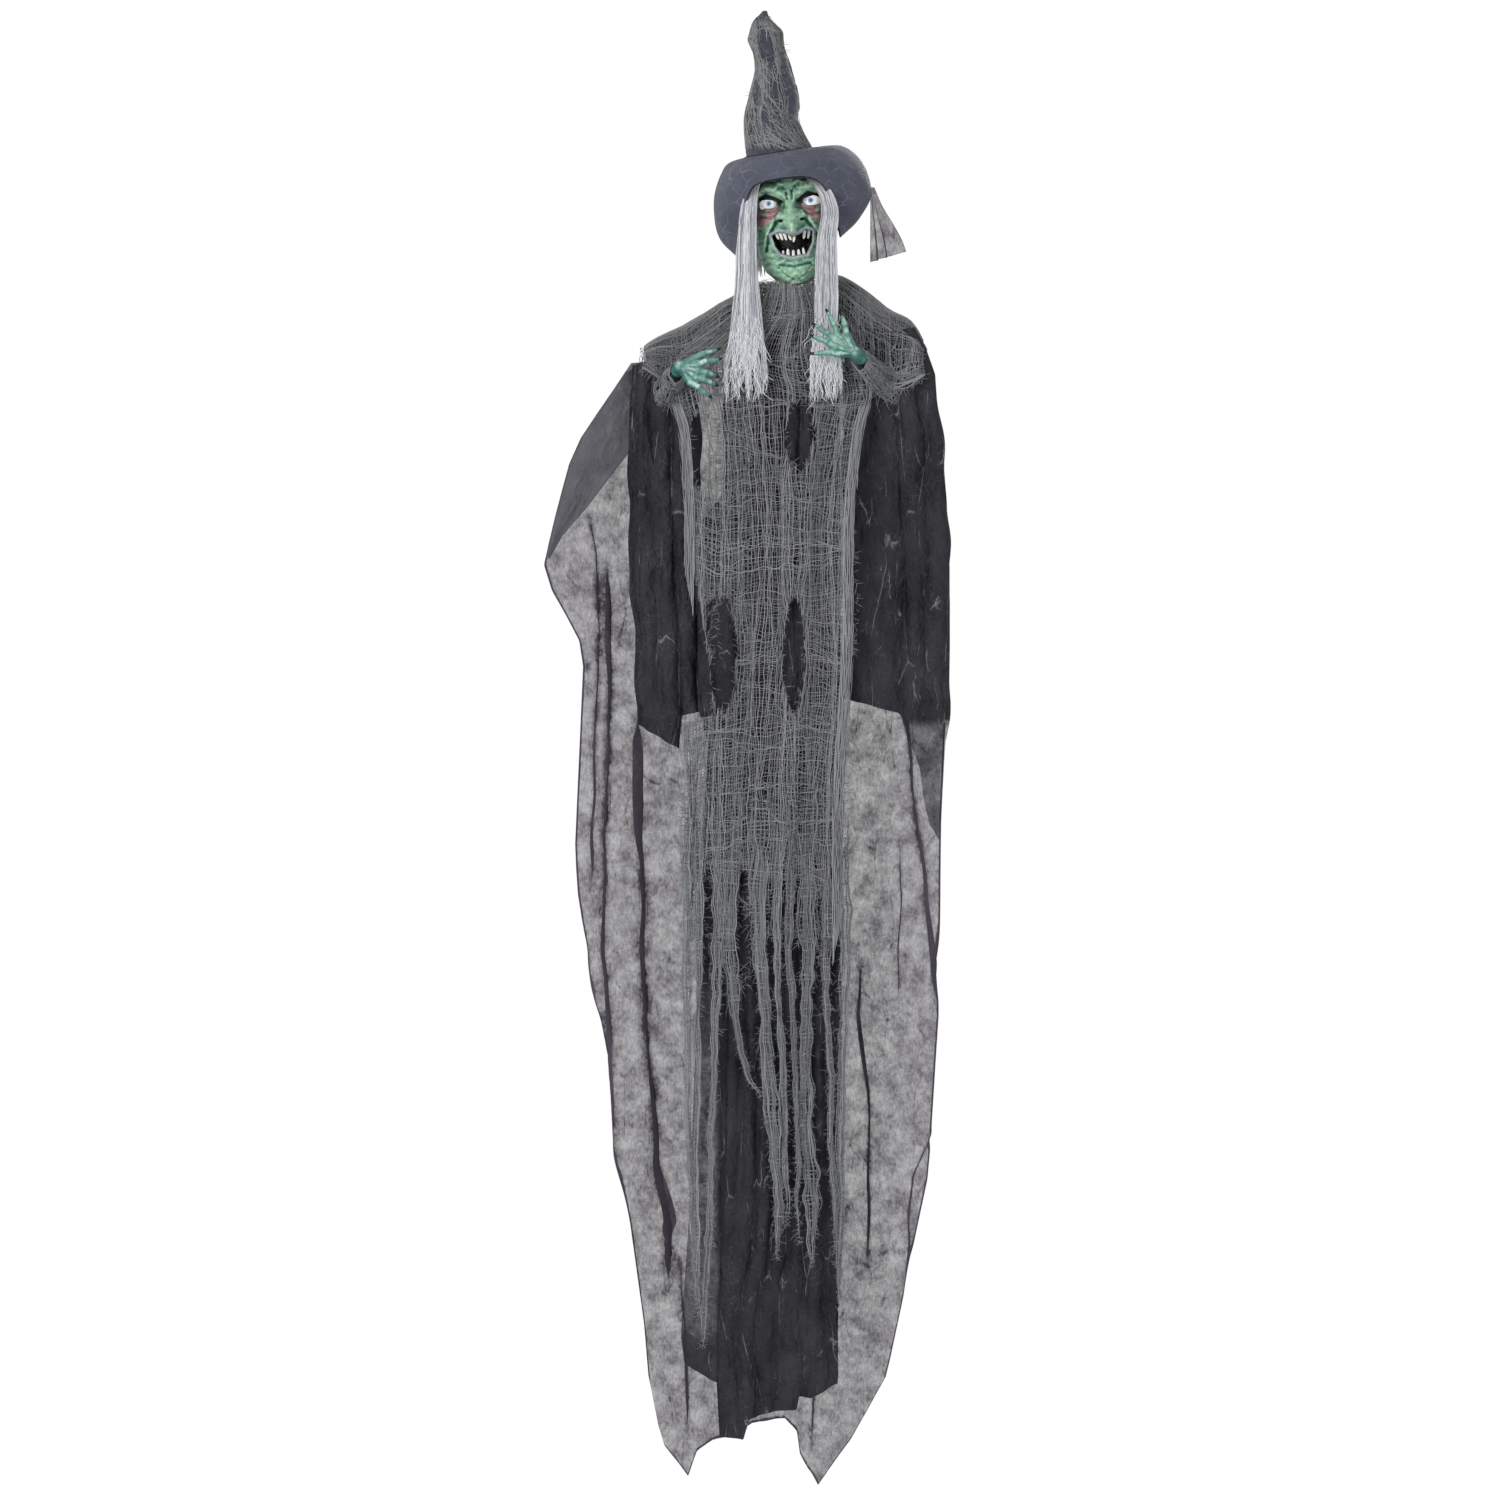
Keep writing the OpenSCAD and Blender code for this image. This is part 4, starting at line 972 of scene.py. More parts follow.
def hat_gauze():
    """Torn gauze pulled over the cone; the cloth shows through at the right."""
    top, bottom = CROWN[0, 0] - 6, CROWN[-1, 0] + 4

    def surface(u, v):
        z = top + (bottom - top) * v
        return crown_point(u * 2 * math.pi + 0.9 * v, z, 1.6 + 0.7 * np.sin(u * 40 + v * 9))

    holes = [  # x, z, half width and half height, seen from the front
        (6, 330, 9, 48), (14, 284, 8, 26), (-32, 372, 4, 22), (-22, 356, 4, 26), (-14, 300, 3, 14),
        (-42, 300, 4, 16),
        (-30, 262, 4, 12),
    ]

    def keep(u, v, warp):
        p = surface(u, v)
        good = (v > 0) & (v < 1)
        for k, (cx, cz, half_w, half_h) in enumerate(holes):
            inside = ((p[:, 0] - cx) / half_w) ** 2 + ((p[:, 2] - cz) / half_h) ** 2
            good &= (inside > 1 + 0.4 * noise(p[:, 0] / 4, p[:, 2] / 6, 161 + k)) | (p[:, 1] > NECK[1])
        return good

    threads = Threads()
    weave(threads, surface, 96, 64, 215, 240, keep, 162, (0.72, 0.55), 2.2)
    weave(threads, surface, 54, 34, 215, 240, keep, 172, (0.7, 0.5), 3.0)
    for k, (cx, cz, half_w, half_h) in enumerate(holes):
        z = np.linspace(cz + half_h, cz - half_h, 20)
        rim = np.stack([cx - half_w + 0 * z, NECK[1] - np.interp(-z, -CROWN[:, 0], CROWN[:, 3]), z], axis=-1)
        fuzz(threads, rim, 180 + k, 3, 8, 0.3)
    obj = threads.piece("hat_gauze_threads", YARN)
    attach(obj, "head")
    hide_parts("hat_gauze")


def brim_surface(t, s):
    """The floppy brim at angle t and share s of its width; it falls over both sides of the head."""
    c = np.cos(t)
    side = np.abs(c) ** (1.25 + 4.2 * s)
    behind = np.maximum(0, np.sin(t))
    reach_left = curve(s, [0, 0.12, 0.3, 0.6, 0.85, 1], [47, 70, 84, 95, 84, 60])
    height_left = curve(s, [0, 0.12, 0.3, 0.6, 0.85, 1], [206, 199, 182, 134, 86, 62])
    reach_right = curve(s, [0, 0.2, 0.4, 0.58, 0.75, 1], [50, 90, 120, 132, 116, 87])
    height_right = curve(s, [0, 0.2, 0.4, 0.58, 0.75, 1], [218, 222, 196, 153, 120, 90])
    reach = np.where(c > 0, reach_right, reach_left)
    height = np.where(c > 0, height_right, height_left)
    end = (40 + 62 * behind) * s**1.5
    wave = (
        s * (2.0 * np.sin(5 * t + 1) + 2.2 * noise(t * 3, s * 3, 181))
        + 3.4 * s * crumple(60 * t, 90 * s, 34, 182)
    )
    x = -8 + (reach + wave * 0.4) * c
    y = NECK[1] + (64 + 44 * s + wave) * np.sin(t)
    level = 211 + 0.1 * (x + 8) - end
    z = level * (1 - side) + height * side + wave * 0.4
    return np.stack([x, y, z], axis=-1)


def hat_brim():
    rows, columns = 60, 180
    t = np.linspace(0, 2 * math.pi, columns, endpoint=False)[None, :]
    s = np.linspace(0, 1, rows)[:, None]
    t, s = np.broadcast_arrays(t, s)
    points = brim_surface(t, s)
    obj = grid_piece("hat_brim_cloth", points, HAT, closed=True)
    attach(obj, "head")
    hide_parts("hat_brim")
    thicken(obj, 1.6)
    loop = np.linspace(0, 2 * math.pi, 181)
    binding = Threads()
    binding.add(brim_surface(loop, 1 + 0 * loop), 1.5, 0.5)
    seam = Threads()
    seam.add(brim_surface(loop, 0.015 + 0 * loop) + [0, 0, 0.8], 1.3, 0.5)
    for threads, name in ((binding, "brim_binding"), (seam, "brim_seam")):
        piece = threads.piece(name, HAT_EDGE)
        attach(piece, "head")


def hat_tail():
    """A gathered scrap of sheer cloth tied to the brim's right edge."""
    low, high = box("hat_tail")
    rows, columns = 70, 110
    u = np.linspace(0, 1, columns)[None, :]
    v = np.linspace(0, 1, rows)[:, None]
    left = low[0] + 1 + 0 * v
    right = curve(v, [0, 0.3, 0.55, 0.85, 1], [7, 19, 33, 48, 53]) + low[0]
    x = left + (right - left) * u
    for centre, half in ((0.2, 0.07), (0.46, 0.05)):
        s = (u - centre) / half
        x = x - (right - left) * half * 2.4 * s * np.exp(-s * s)
    z = high[2] - (high[2] - low[2]) * v * (1 - 0.14 * u)
    y = (
        (low[1] + high[1]) / 2 + 6 * np.sin(u * 11 + 1.5 * v) * (0.25 + 0.75 * v)
        + rough_noise(u * 6, v * 6, 191)
    )
    obj = grid_piece("hat_tail_cloth", np.stack([x, y, z], axis=-1), SHEER)
    edge = np.zeros((rows, columns), np.float32)
    edge[:, :2] = edge[:, -2:] = edge[-1:, :] = 0.4
    paint(obj, "hem", edge.ravel())
    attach(obj, "head")
    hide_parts("hat_tail")


# ---- Hair ----


def hair_lock(side):
    """One long lock: it comes from under the brim, hangs beside the face and ends in tangles on the chest."""
    label = "left" if side < 0 else "right"
    rng = np.random.default_rng(201 + side)
    z_line = np.array([174, 168, 158, 139, 87, 22, -58, -110, -150])
    if side < 0:
        middle = np.array([-39, -43, -47, -51, -54.5, -55, -56, -58, -57])
        half = np.array([6, 8, 9.5, 11, 13.5, 16, 25, 30, 27])
    else:
        middle = np.array([36, 46, 55, 63, 61, 60, 58.5, 58, 57])
        half = np.array([7, 9, 10.5, 11.5, 14, 16, 17, 22, 21])
    depth = np.array([-100, -105, -109, -112, -110, -114, -124, -126, -127])
    threads = Threads()
    for k in range(460):
        across = rng.uniform(-1, 1)
        layer = rng.uniform(-1, 1)
        end = -152 + 34 * rng.random() + 90 * rng.random() ** 4
        start = 174 - 20 * rng.random() ** 2 * (across + 1 if side > 0 else 1 - across) / 2
        z = np.arange(start, end, -6.0)
        clump = np.round(across * 3.5 + 0.8 * noise(across * 3, layer, 206)) / 3.5
        gather = smooth(-z, 10, 140)
        place = across * (1 - 0.6 * gather) + clump * 0.6 * gather
        drift = 5.5 * gather * noise(z / 42, clump * 40 + 3, 202) + 1.6 * noise(z / 60, across * 6, 208)
        wave = (
            (0.6 + 2.6 * gather) * noise(z / 13, k * 0.37, 203)
            + (0.3 + 1.1 * gather) * noise(z / 6.5, k * 0.9, 209)
        )
        x = curve(-z, -z_line, middle) + curve(-z, -z_line, half) * place + drift + wave
        y = curve(-z, -z_line, depth) + 5 * layer + (1 + 2 * gather) * noise(z / 14, k * 0.7, 204)
        # Random tone per strand, with the strands of the back layer painted darker: painted shade under the front
        # strands.
        bright = np.clip(0.6 + 0.34 * rng.normal() - 0.3 * (layer > 0.2), 0, 1)
        threads.add(np.stack([x, y, z], axis=-1), rng.uniform(0.3, 0.6), bright)
    for k in range(90):
        s = np.linspace(0, 1, 16)
        z = -20 - 70 * rng.random() - s * (35 + 40 * rng.random())
        start = curve(-z[:1], -z_line, middle)[0] + rng.uniform(-0.9, 0.9) * 22
        x = start + rng.normal() * 12 * s**2 + 4 * noise(s * 6, k, 205)
        threads.add(np.stack([x, -131 + rng.uniform(-3, 3) + 3 * noise(s * 4, k, 207), z], axis=-1), 0.4, 0.9)
    if side < 0:
        t = np.linspace(0.3, 5.6, 26)
        threads.add(np.stack([-54 - 6 * np.cos(t), -114 + 0 * t, 149 + 15 * np.sin(t)], axis=-1), 0.9, 0.9)
    obj = threads.piece(f"hair_lock_{label}", HAIR)
    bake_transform(obj)
    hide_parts(f"hair_{label}", f"hair_tress_{label}")


def hair_behind():
    """Hair over the back and sides of the head, down to the nape."""
    low, high = box("hair_back")
    rng = np.random.default_rng(221)
    threads = Threads()
    for k in range(520):
        t = rng.uniform(0.12, math.pi - 0.12)
        top = high[2] + 22
        end = low[2] + 14 - 34 * rng.random() ** 2
        z = np.arange(top, end, -7.0)
        fall = np.clip((top - z) / (top - end), 0, 1)
        r_x, r_y = 62 + 4 * rng.random(), 80 + 4 * rng.random()
        pull = 1 - 0.12 * fall**2
        wave = 1.6 * noise(z / 24, k * 0.31, 222)
        x = HEAD[0] - 3 + (r_x * np.cos(t)) * pull + wave
        y = NECK[1] + 4 + r_y * np.sin(t) * pull + 1.2 * noise(z / 30, k * 0.7, 223)
        threads.add(
            np.stack([x, y, z], axis=-1), rng.uniform(0.6, 0.95), np.clip(0.55 + 0.3 * rng.normal(), 0, 1)
        )
    obj = threads.piece("hair_behind", HAIR)
    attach(obj, "head")
    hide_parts("hair_back")


# ---- Face ----


def lean(points):
    """Head-frame points to the row frame."""
    c, s = math.cos(HEAD_LEAN), math.sin(HEAD_LEAN)
    x, y, z = points[..., 0], points[..., 1], points[..., 2]
    return np.stack([x * c - z * s, y, x * s + z * c], axis=-1) + HEAD


def near_curve(x, z, points, width):
    """1 on a curve through points, falling to 0 beside it."""
    points = np.array(points, float)
    best = np.full(np.broadcast(x, z).shape, 1e9)
    for a, b in zip(points[:-1], points[1:]):
        d = b - a
        t = np.clip(((x - a[0]) * d[0] + (z - a[1]) * d[1]) / (d @ d), 0, 1)
        best = np.minimum(best, np.hypot(x - a[0] - t * d[0], z - a[1] - t * d[1]))
    return bump(best, width)


def mirrored(x, z, points, width):
    return np.maximum(near_curve(x, z, points, width), near_curve(x, z, [(-a, b) for a, b in points], width))


EYE_X, EYE_Z = 31.0, 15.5
MOUTH = [
    (-30, -31), (-20, -27), (-8, -30), (0, -35), (8, -33), (20, -26), (29, -29), (27, -45), (18, -61),
    (-3, -63),
    (-19, -58), (-26, -47),
]


def inside_distance(x, z, corners):
    """Distance to a closed outline, positive inside it."""
    corners = np.array(corners, float)
    best = np.full(x.shape, 1e9)
    inside = np.zeros(x.shape, bool)
    for a, b in zip(corners, np.roll(corners, -1, axis=0)):
        d = b - a
        t = np.clip(((x - a[0]) * d[0] + (z - a[1]) * d[1]) / (d @ d), 0, 1)
        best = np.minimum(best, np.hypot(x - a[0] - t * d[0], z - a[1] - t * d[1]))
        crosses = (a[1] > z) != (b[1] > z)
        reach = a[0] + (z - a[1]) / (b[1] - a[1] + 1e-12) * (b[0] - a[0])
        inside ^= crosses & (x < reach)
    return np.where(inside, best, -best)


def eye_inside(x, z):
    """Positive inside either slanted eye opening, in millimetres."""
    depth = np.full(x.shape, -1e9)
    for side in (-1, 1):
        dx, dz = (x - side * EYE_X) * side, z - EYE_Z
        slope = math.radians(12)
        a = dx * math.cos(slope) + dz * math.sin(slope)
        b = -dx * math.sin(slope) + dz * math.cos(slope)
        upper = 5.6 * np.sqrt(np.clip(1 - (a / 12.5) ** 2, 0, 1)) - 0.12 * a
        lower = -6.6 * np.sqrt(np.clip(1 - (a / 12.5) ** 2, 0, 1))
        depth = np.maximum(depth, np.minimum(np.minimum(upper - b, b - lower), 12.5 - np.abs(a)))
    return depth


def face_relief(x, z):
    """How far the mask's features stand out from the plain head shape, and its masks for paint."""
    ax = np.abs(x)
    brow = mirrored(x, z, [(5, 22), (14, 28), (26, 36), (38, 37), (47, 30)], 6.5)
    relief = 9.5 * brow * smooth(ax, 1, 8)
    swirl_right = near_curve(x, z, [(6, 34), (9, 43), (15, 47), (19, 42), (17, 35), (13, 36)], 2.4)
    swirl_left = near_curve(x, z, [(-5, 32), (-9, 41), (-15, 44), (-18, 38)], 2.4)
    relief += 3.6 * np.maximum(swirl_right, swirl_left)
    creases = mirrored(x, z, [(4, 20), (4, 30), (8, 38)], 2.2)
    relief -= 3.6 * creases
    furrows = np.maximum(
        mirrored(x, z, [(22, 46), (34, 47), (46, 40)], 1.9),
        mirrored(x, z, [(8, 55), (22, 60), (38, 57)], 1.9)
    )
    relief -= 2.6 * furrows
    socket = bump(ax - EYE_X, 17) * bump(z - EYE_Z, 11)
    relief -= 9.0 * socket
    bridge = np.interp(-z, [-34, -22, -5, 8, 20, 26, 31, 36], [0, 7, 17, 27, 36, 37, 26, 1])
    spread = np.interp(-z, [-34, -10, 3, 14, 24, 32], [6.0, 8.0, 11.5, 11.0, 7.5, 6.0])
    relief += bridge * np.exp(-((ax / spread) ** 2.4))
    wing = bump(ax - 15.5, 6.5) * bump(z + 5, 8)
    relief += 10.0 * wing
    nostril = bump(ax - 15.5, 2.8) * bump(z + 11.0, 2.2)
    relief -= 7.5 * nostril
    beside_nose = mirrored(x, z, [(12, 16), (17, 6), (23, -3), (24, -12)], 2.6)
    relief -= 3.4 * beside_nose
    relief += 6.5 * bump(ax - 38, 13) * bump(z + 12, 13)
    bags = mirrored(x, z, [(18, 4), (30, -1), (44, 2)], 2.6)
    relief += 2.8 * bags + 2.2 * mirrored(x, z, [(20, -3), (30, -9), (44, -7)], 2.4)
    relief -= 2.0 * mirrored(x, z, [(19, 0), (30, -5), (44, -3)], 1.5)
    relief += 5.0 * mirrored(x, z, [(18, 2), (28, -14), (38, -30), (44, -50)], 3.4)
    smile = mirrored(x, z, [(19, -10), (26, -19), (34, -30), (39, -52)], 2.6)
    relief -= 4.4 * smile
    relief -= 2.4 * mirrored(x, z, [(46, -20), (49, -42), (43, -66)], 2.0)
    mouth = inside_distance(x, z, MOUTH)
    lip = bump(mouth + 2.6, 3.0)
    relief += 6.0 * lip
    chin_fold = near_curve(x, z, [(-22, -74), (0, -78), (22, -74)], 2.6)
    relief += 9.0 * bump(x, 18) * bump(z + 89, 12) - 3.4 * chin_fold
    relief -= 2.0 * mirrored(x, z, [(24, -78), (14, -90), (5, -96)], 1.7)
    relief += 1.5 * rough_noise(x / 8, z / 8, 231, 4) + 0.6 * np.sin(z / 1.9 + 3 * noise(x / 12, z / 12, 232))
    eye = eye_inside(x, z)
    relief += 3.0 * bump(eye + 1.6, 1.8)
    relief -= 13 * smooth(eye, -0.3, 1.4) + 24 * smooth(mouth, -0.5, 2.2)
    hollow = np.clip(creases + 0.8 * furrows + beside_nose + smile + 0.8 * chin_fold + 0.25 * socket, 0, 1)
    # ridge and edge are masks for the painted highlight down the nose ridge and the painted shade beside the nose.
    ridge = bump(x / (spread * 0.62), 1) * smooth(-z, -24, -12) * smooth(z, -33, -22)
    edge = mirrored(x, z, [(8, 19), (9, 7), (20, 1), (24, -7), (20, -15)], 1.7)
    parts = {"eye": eye, "mouth": mouth, "lip": lip, "nostril": nostril, "hollow": hollow}
    return relief, {**parts, "bridge": ridge, "beside_nose": edge}


def mask_colours(x, z, relief, parts):
    """Green paint with teal in the hollows and pale green on the ridges, partly the mask's own paint and partly
    painted shade and painted highlight, and the dark, red and mauve details.
    """
    level = relief
    for _ in range(14):
        level = (
            (level + np.roll(level, 1, 0) + np.roll(level, -1, 0) + np.roll(level, 1, 1)
             + np.roll(level, -1, 1)) / 5
        )
    # Teal where the relief sinks and pale green where it rises: partly the mask's own paint wash, partly painted
    # shade in the hollows and painted highlight on the ridges.
    raised = np.clip((relief - level) * 0.9, -1, 1)
    patch = rough_noise(x / 10, z / 10, 241, 3)
    dark_share = np.clip(-raised * 1.0 + 0.16 * patch + 0.5 * parts["hollow"] - 0.14, 0, 1)[..., None]
    light_share = np.clip(raised * 1.3 + 0.4 * patch + 0.1, 0, 1)[..., None]
    colour = np.array([0.27, 0.5, 0.345]) * (1 - dark_share) + np.array([0.035, 0.11, 0.095]) * dark_share
    colour = colour * (1 - light_share) + np.array([0.47, 0.73, 0.51]) * light_share

    def lay(share, tone):
        nonlocal colour
        share = np.clip(share, 0, 1)[..., None]
        colour = colour * (1 - share) + np.array(tone) * share

    red = [(12, 9), (22, 8), (34, 6), (47, 9), (50, -15), (40, -18), (27, -8)]
    lids = [[(-42, 24), (-34, 28), (-13, 17)], [(12, 16.5), (27, 27), (42, 22)]]
    for side in (1, -1):
        lay(0.9 * smooth(inside_distance(side * x, z, red), -2, 2) * (0.8 + 0.4 * patch), (0.5, 0.19, 0.24))
    lay(0.9 * smooth(parts["lip"], 0.3, 0.8) * (0.85 + 0.4 * patch), (0.42, 0.4, 0.5))
    above = z > EYE_Z + 0.5 + 0.25 * (np.abs(x) - EYE_X)
    for points in lids:
        lay(smooth(near_curve(x, z, points, 2.9), 0.35, 0.6), (0.004, 0.004, 0.006))
    lay(smooth(bump(parts["eye"] + 1.6, 2.2), 0.3, 0.7) * above, (0.004, 0.004, 0.006))
    lay(0.8 * smooth(bump(parts["eye"] + 0.8, 1.5), 0.3, 0.8) * ~above, (0.12, 0.03, 0.04))
    # A pale stripe down the nose ridge is painted highlight, and the dark teal lines beside the nose are painted
    # shade.
    lay(0.75 * parts["bridge"] * (0.85 + 0.3 * patch), (0.5, 0.76, 0.52))
    lay(0.75 * parts["beside_nose"], (0.035, 0.1, 0.085))
    lay(smooth(parts["nostril"], 0.15, 0.5), (0.003, 0.004, 0.004))
    lay(smooth(parts["mouth"], -0.6, 0.8), (0.006, 0.004, 0.006))
    lay(smooth(parts["eye"], 0.0, 1.2), (0.02, 0.005, 0.005))
    return colour


def face():
    """The mask: a fine grid over the front of the head, pushed in and out by its features."""
    half_height = (face_high[2] - face_low[2]) / 2
    rows, columns = 250, 230
    z = np.linspace(1, -1, rows)[:, None] * (half_height - 1)
    heights = [-103, -96, -89, -82, -70, -52, -10, 35, 65, 88, 98, 103]
    half = np.interp(z, heights, [15, 28, 35, 42, 48, 51, 55, 56, 50, 36, 20, 6])
    depth = np.interp(z, [-103, -90, -70, -40, 0, 40, 70, 90, 103], [46, 58, 58, 62, 60, 62, 54, 36, 6])
    t = np.linspace(math.pi, 0, columns)[None, :]
    t = t + 0.16 * np.sin(2 * t)
    x = half * np.cos(t)
    front = depth * np.abs(np.sin(t)) ** 0.85
    z = z + 0 * x
    relief, parts = face_relief(x, z)
    face_on = smooth(np.sin(t), 0.12, 0.5)
    points = np.stack([x, -(front + relief * face_on), z], axis=-1)
    obj = grid_piece("face_mask_skin", lean(points), SKIN)
    paint(obj, "paint", mask_colours(x, z, relief, parts).reshape(-1, 3))
    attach(obj, "head")
    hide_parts("face_mask", "mouth_liner")


def face_front(x, z):
    """How far forward the plain head shape is, at a point of the face."""
    depth = np.interp(z, [-103, -90, -70, -40, 0, 40], [46, 58, 58, 62, 60, 62])
    half = np.interp(z, [-96, -82, -70, -52, -10, 35], [28, 42, 48, 51, 55, 56])
    return depth * np.sqrt(np.clip(1 - (x / half) ** 2, 0, 1)) ** 0.85


def eyes():
    for side in (-1, 1):
        label = "left" if side < 0 else "right"
        rows, columns = 72, 72
        polar = np.linspace(0, math.pi, rows)[:, None]
        turn = np.linspace(0, 2 * math.pi, columns, endpoint=False)[None, :]
        radius = 13.4 + 0.5 * bump(polar, 0.3)
        forward = radius * np.cos(polar)
        out = radius * np.sin(polar)
        aim_x, aim_z = -0.05 * side, 0.02
        x = out * np.cos(turn) + forward * aim_x
        z = out * np.sin(turn) + forward * aim_z
        y = -forward + 0 * turn
        place = np.array([side * EYE_X, -face_front(EYE_X, EYE_Z) + 17.5, EYE_Z])
        obj = grid_piece(f"eyeball_{label}", lean(np.stack([x, y, z], axis=-1) + place), EYE, closed=True)
        flat = out + 0 * turn
        grain = 1 + 0.2 * np.sin(23 * turn + 0 * flat)
        white = np.array([0.95, 0.96, 0.98])[None, None, :] * np.ones(flat.shape)[..., None]
        vein = (
            smooth(flat, 6.5, 11)[..., None] * (0.5 + 0.5 * noise(turn * 5, flat / 2, 251))[..., None] * 0.4
        )
        colour = white * (1 - vein) + np.array([0.6, 0.12, 0.1]) * vein
        for edge, tone in ((3.9, (0.05, 0.1, 0.2)), (3.5, (0.25, 0.42, 0.66)), (1.6, (0.004, 0.004, 0.006))):
            share = smooth(-flat, -edge - 0.25, -edge + 0.25)[..., None]
            colour = colour * (1 - share) + np.array(tone) * share * (grain[..., None] if edge == 3.5 else 1)
        paint(obj, "paint", colour.reshape(-1, 3))
        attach(obj, "head")
        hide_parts(f"eye_{label}")


def tooth_mesh(width, height, slant, seed):
    """Points of one worn tooth: a rounded block, root at z = 0, tip at z = -height."""
    rng = np.random.default_rng(seed)
    rows, columns = 12, 16
    s = np.linspace(0, 1, rows)[:, None]
    t = np.linspace(0, 2 * math.pi, columns, endpoint=False)[None, :]
    taper = (1 - 0.35 * s) * np.sqrt(np.clip(1 - np.clip((s - 0.72) / 0.3, 0, 1) ** 2, 0.01, 1))
    edge = 1 + 0.08 * noise(t * 2, s * 3, seed)
    square = 1 / (np.abs(np.cos(t)) ** 3 + np.abs(np.sin(t)) ** 3) ** (1 / 3)
    x = width / 2 * taper * edge * square * np.cos(t) + slant * s
    y = width * 0.32 * taper * square * np.sin(t)
    z = -height * s * (1 + 0.06 * rng.normal()) + 0 * t
    return np.stack([x, y, z], axis=-1)


def teeth():
    upper = [  # place across, width, length and slant
        (-24, 5.4, 11, 3.5), (-18, 5.2, 12, 3.0), (-12, 5, 10, 2.5), (-5.5, 4.8, 11, 2.6), (3.5, 5, 13, -3.0),
        (18, 5.2, 12, -2.5), (25, 5, 12, -3.0),
    ]
    lower = [
        (-17, 5.2, 10, 1.5), (-9, 5.6, 11, 0.5), (-1, 5.2, 9, 0), (7, 5.2, 10, -0.5), (14.5, 5, 12, -1.0)
    ]
    points, faces, count = [], [], 0
    for k, (x, width, height, slant) in enumerate(upper + lower):
        up = k >= len(upper)
        shape = tooth_mesh(width, height, slant, 260 + k)
        gum = -27.5 - 2.5 * math.cos(x / 12) if not up else -63.5
        if up:
            shape = shape * [1, 1, -1]
        place = np.array([x, -face_front(x, gum) + 6.5, gum])
        rows, columns = shape.shape[:2]
        quads = grid_faces(rows, columns, closed=True)
        points.append((shape + place).reshape(-1, 3))
        faces.append(quads[:, ::-1] + count if up else quads + count)
        count += rows * columns
    obj = new_piece("teeth_worn", lean(np.concatenate(points)), np.concatenate(faces), TOOTH)
    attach(obj, "head")
    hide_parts("teeth")


# ---- Hands ----

HANDS = {
    "left": {
        "knuckles": [(-133, -158, -88), (-128, -161, -97), (-126, -161, -106), (-129, -160, -115),
            (-137, -158, -122)],
        "tips": [(-97, -148, -74), (-95, -148, -88), (-99, -148, -112), (-100, -148, -125),
            (-109, -148, -141)],
    },
    "right": {
        "knuckles": [(88, -157, -50), (76, -161, -53), (72, -162, -62), (72, -161, -71), (78, -158, -81)],
        "tips": [(82, -150, -25), (61, -150, -20), (43, -150, -39), (40, -150, -55), (41, -150, -80)],
    },
}


def ball_chain(points, radii, spacing=0.35):
    """Balls set close together along a line, as centres and radii."""
    points, radii = np.array(points, float), np.array(radii, float)
    centres, sizes = [], []
    for a, b, ra, rb in zip(points[:-1], points[1:], radii[:-1], radii[1:]):
        n = max(2, int(np.linalg.norm(b - a) / (min(ra, rb) * spacing)))
        for s in np.linspace(0, 1, n):
            centres.append(a + (b - a) * s)
            sizes.append(ra + (rb - ra) * s)
    return centres, sizes


def balls_mesh(name, centres, sizes, material, voxel):
    """One smooth skin round many balls."""
    rows, columns = 9, 14
    polar = np.linspace(0.02, math.pi - 0.02, rows)[:, None]
    turn = np.linspace(0, 2 * math.pi, columns, endpoint=False)[None, :]
    unit = np.stack(
        [np.sin(polar) * np.cos(turn), np.sin(polar) * np.sin(turn), np.cos(polar) + 0 * turn], axis=-1
    )
    quads = grid_faces(rows, columns, closed=True)
    caps = [[0, k, k + 1, k + 2] for k in range(1, columns - 2, 2)]
    last = (rows - 1) * columns
    caps += [[last + c for c in reversed(cap)] for cap in caps]
    one = np.concatenate([quads[:, ::-1], caps])
    points = [unit.reshape(-1, 3) * r + c for c, r in zip(centres, sizes)]
    faces = [one + k * rows * columns for k in range(len(centres))]
    obj = new_piece(name, np.concatenate(points), np.concatenate(faces), material)
    remesh = obj.modifiers.new("Skin", "REMESH")
    remesh.mode = "VOXEL"
    remesh.voxel_size = voxel * MM
    remesh.use_smooth_shade = True
    relax = obj.modifiers.new("Relax", "SMOOTH")
    relax.iterations = 4
    relax.factor = 0.5
    evaluated = obj.evaluated_get(bpy.context.evaluated_depsgraph_get())
    mesh = bpy.data.meshes.new_from_object(evaluated)
    obj.modifiers.clear()
    obj.data = mesh
    mesh.materials.clear()
    mesh.materials.append(material)
    return obj


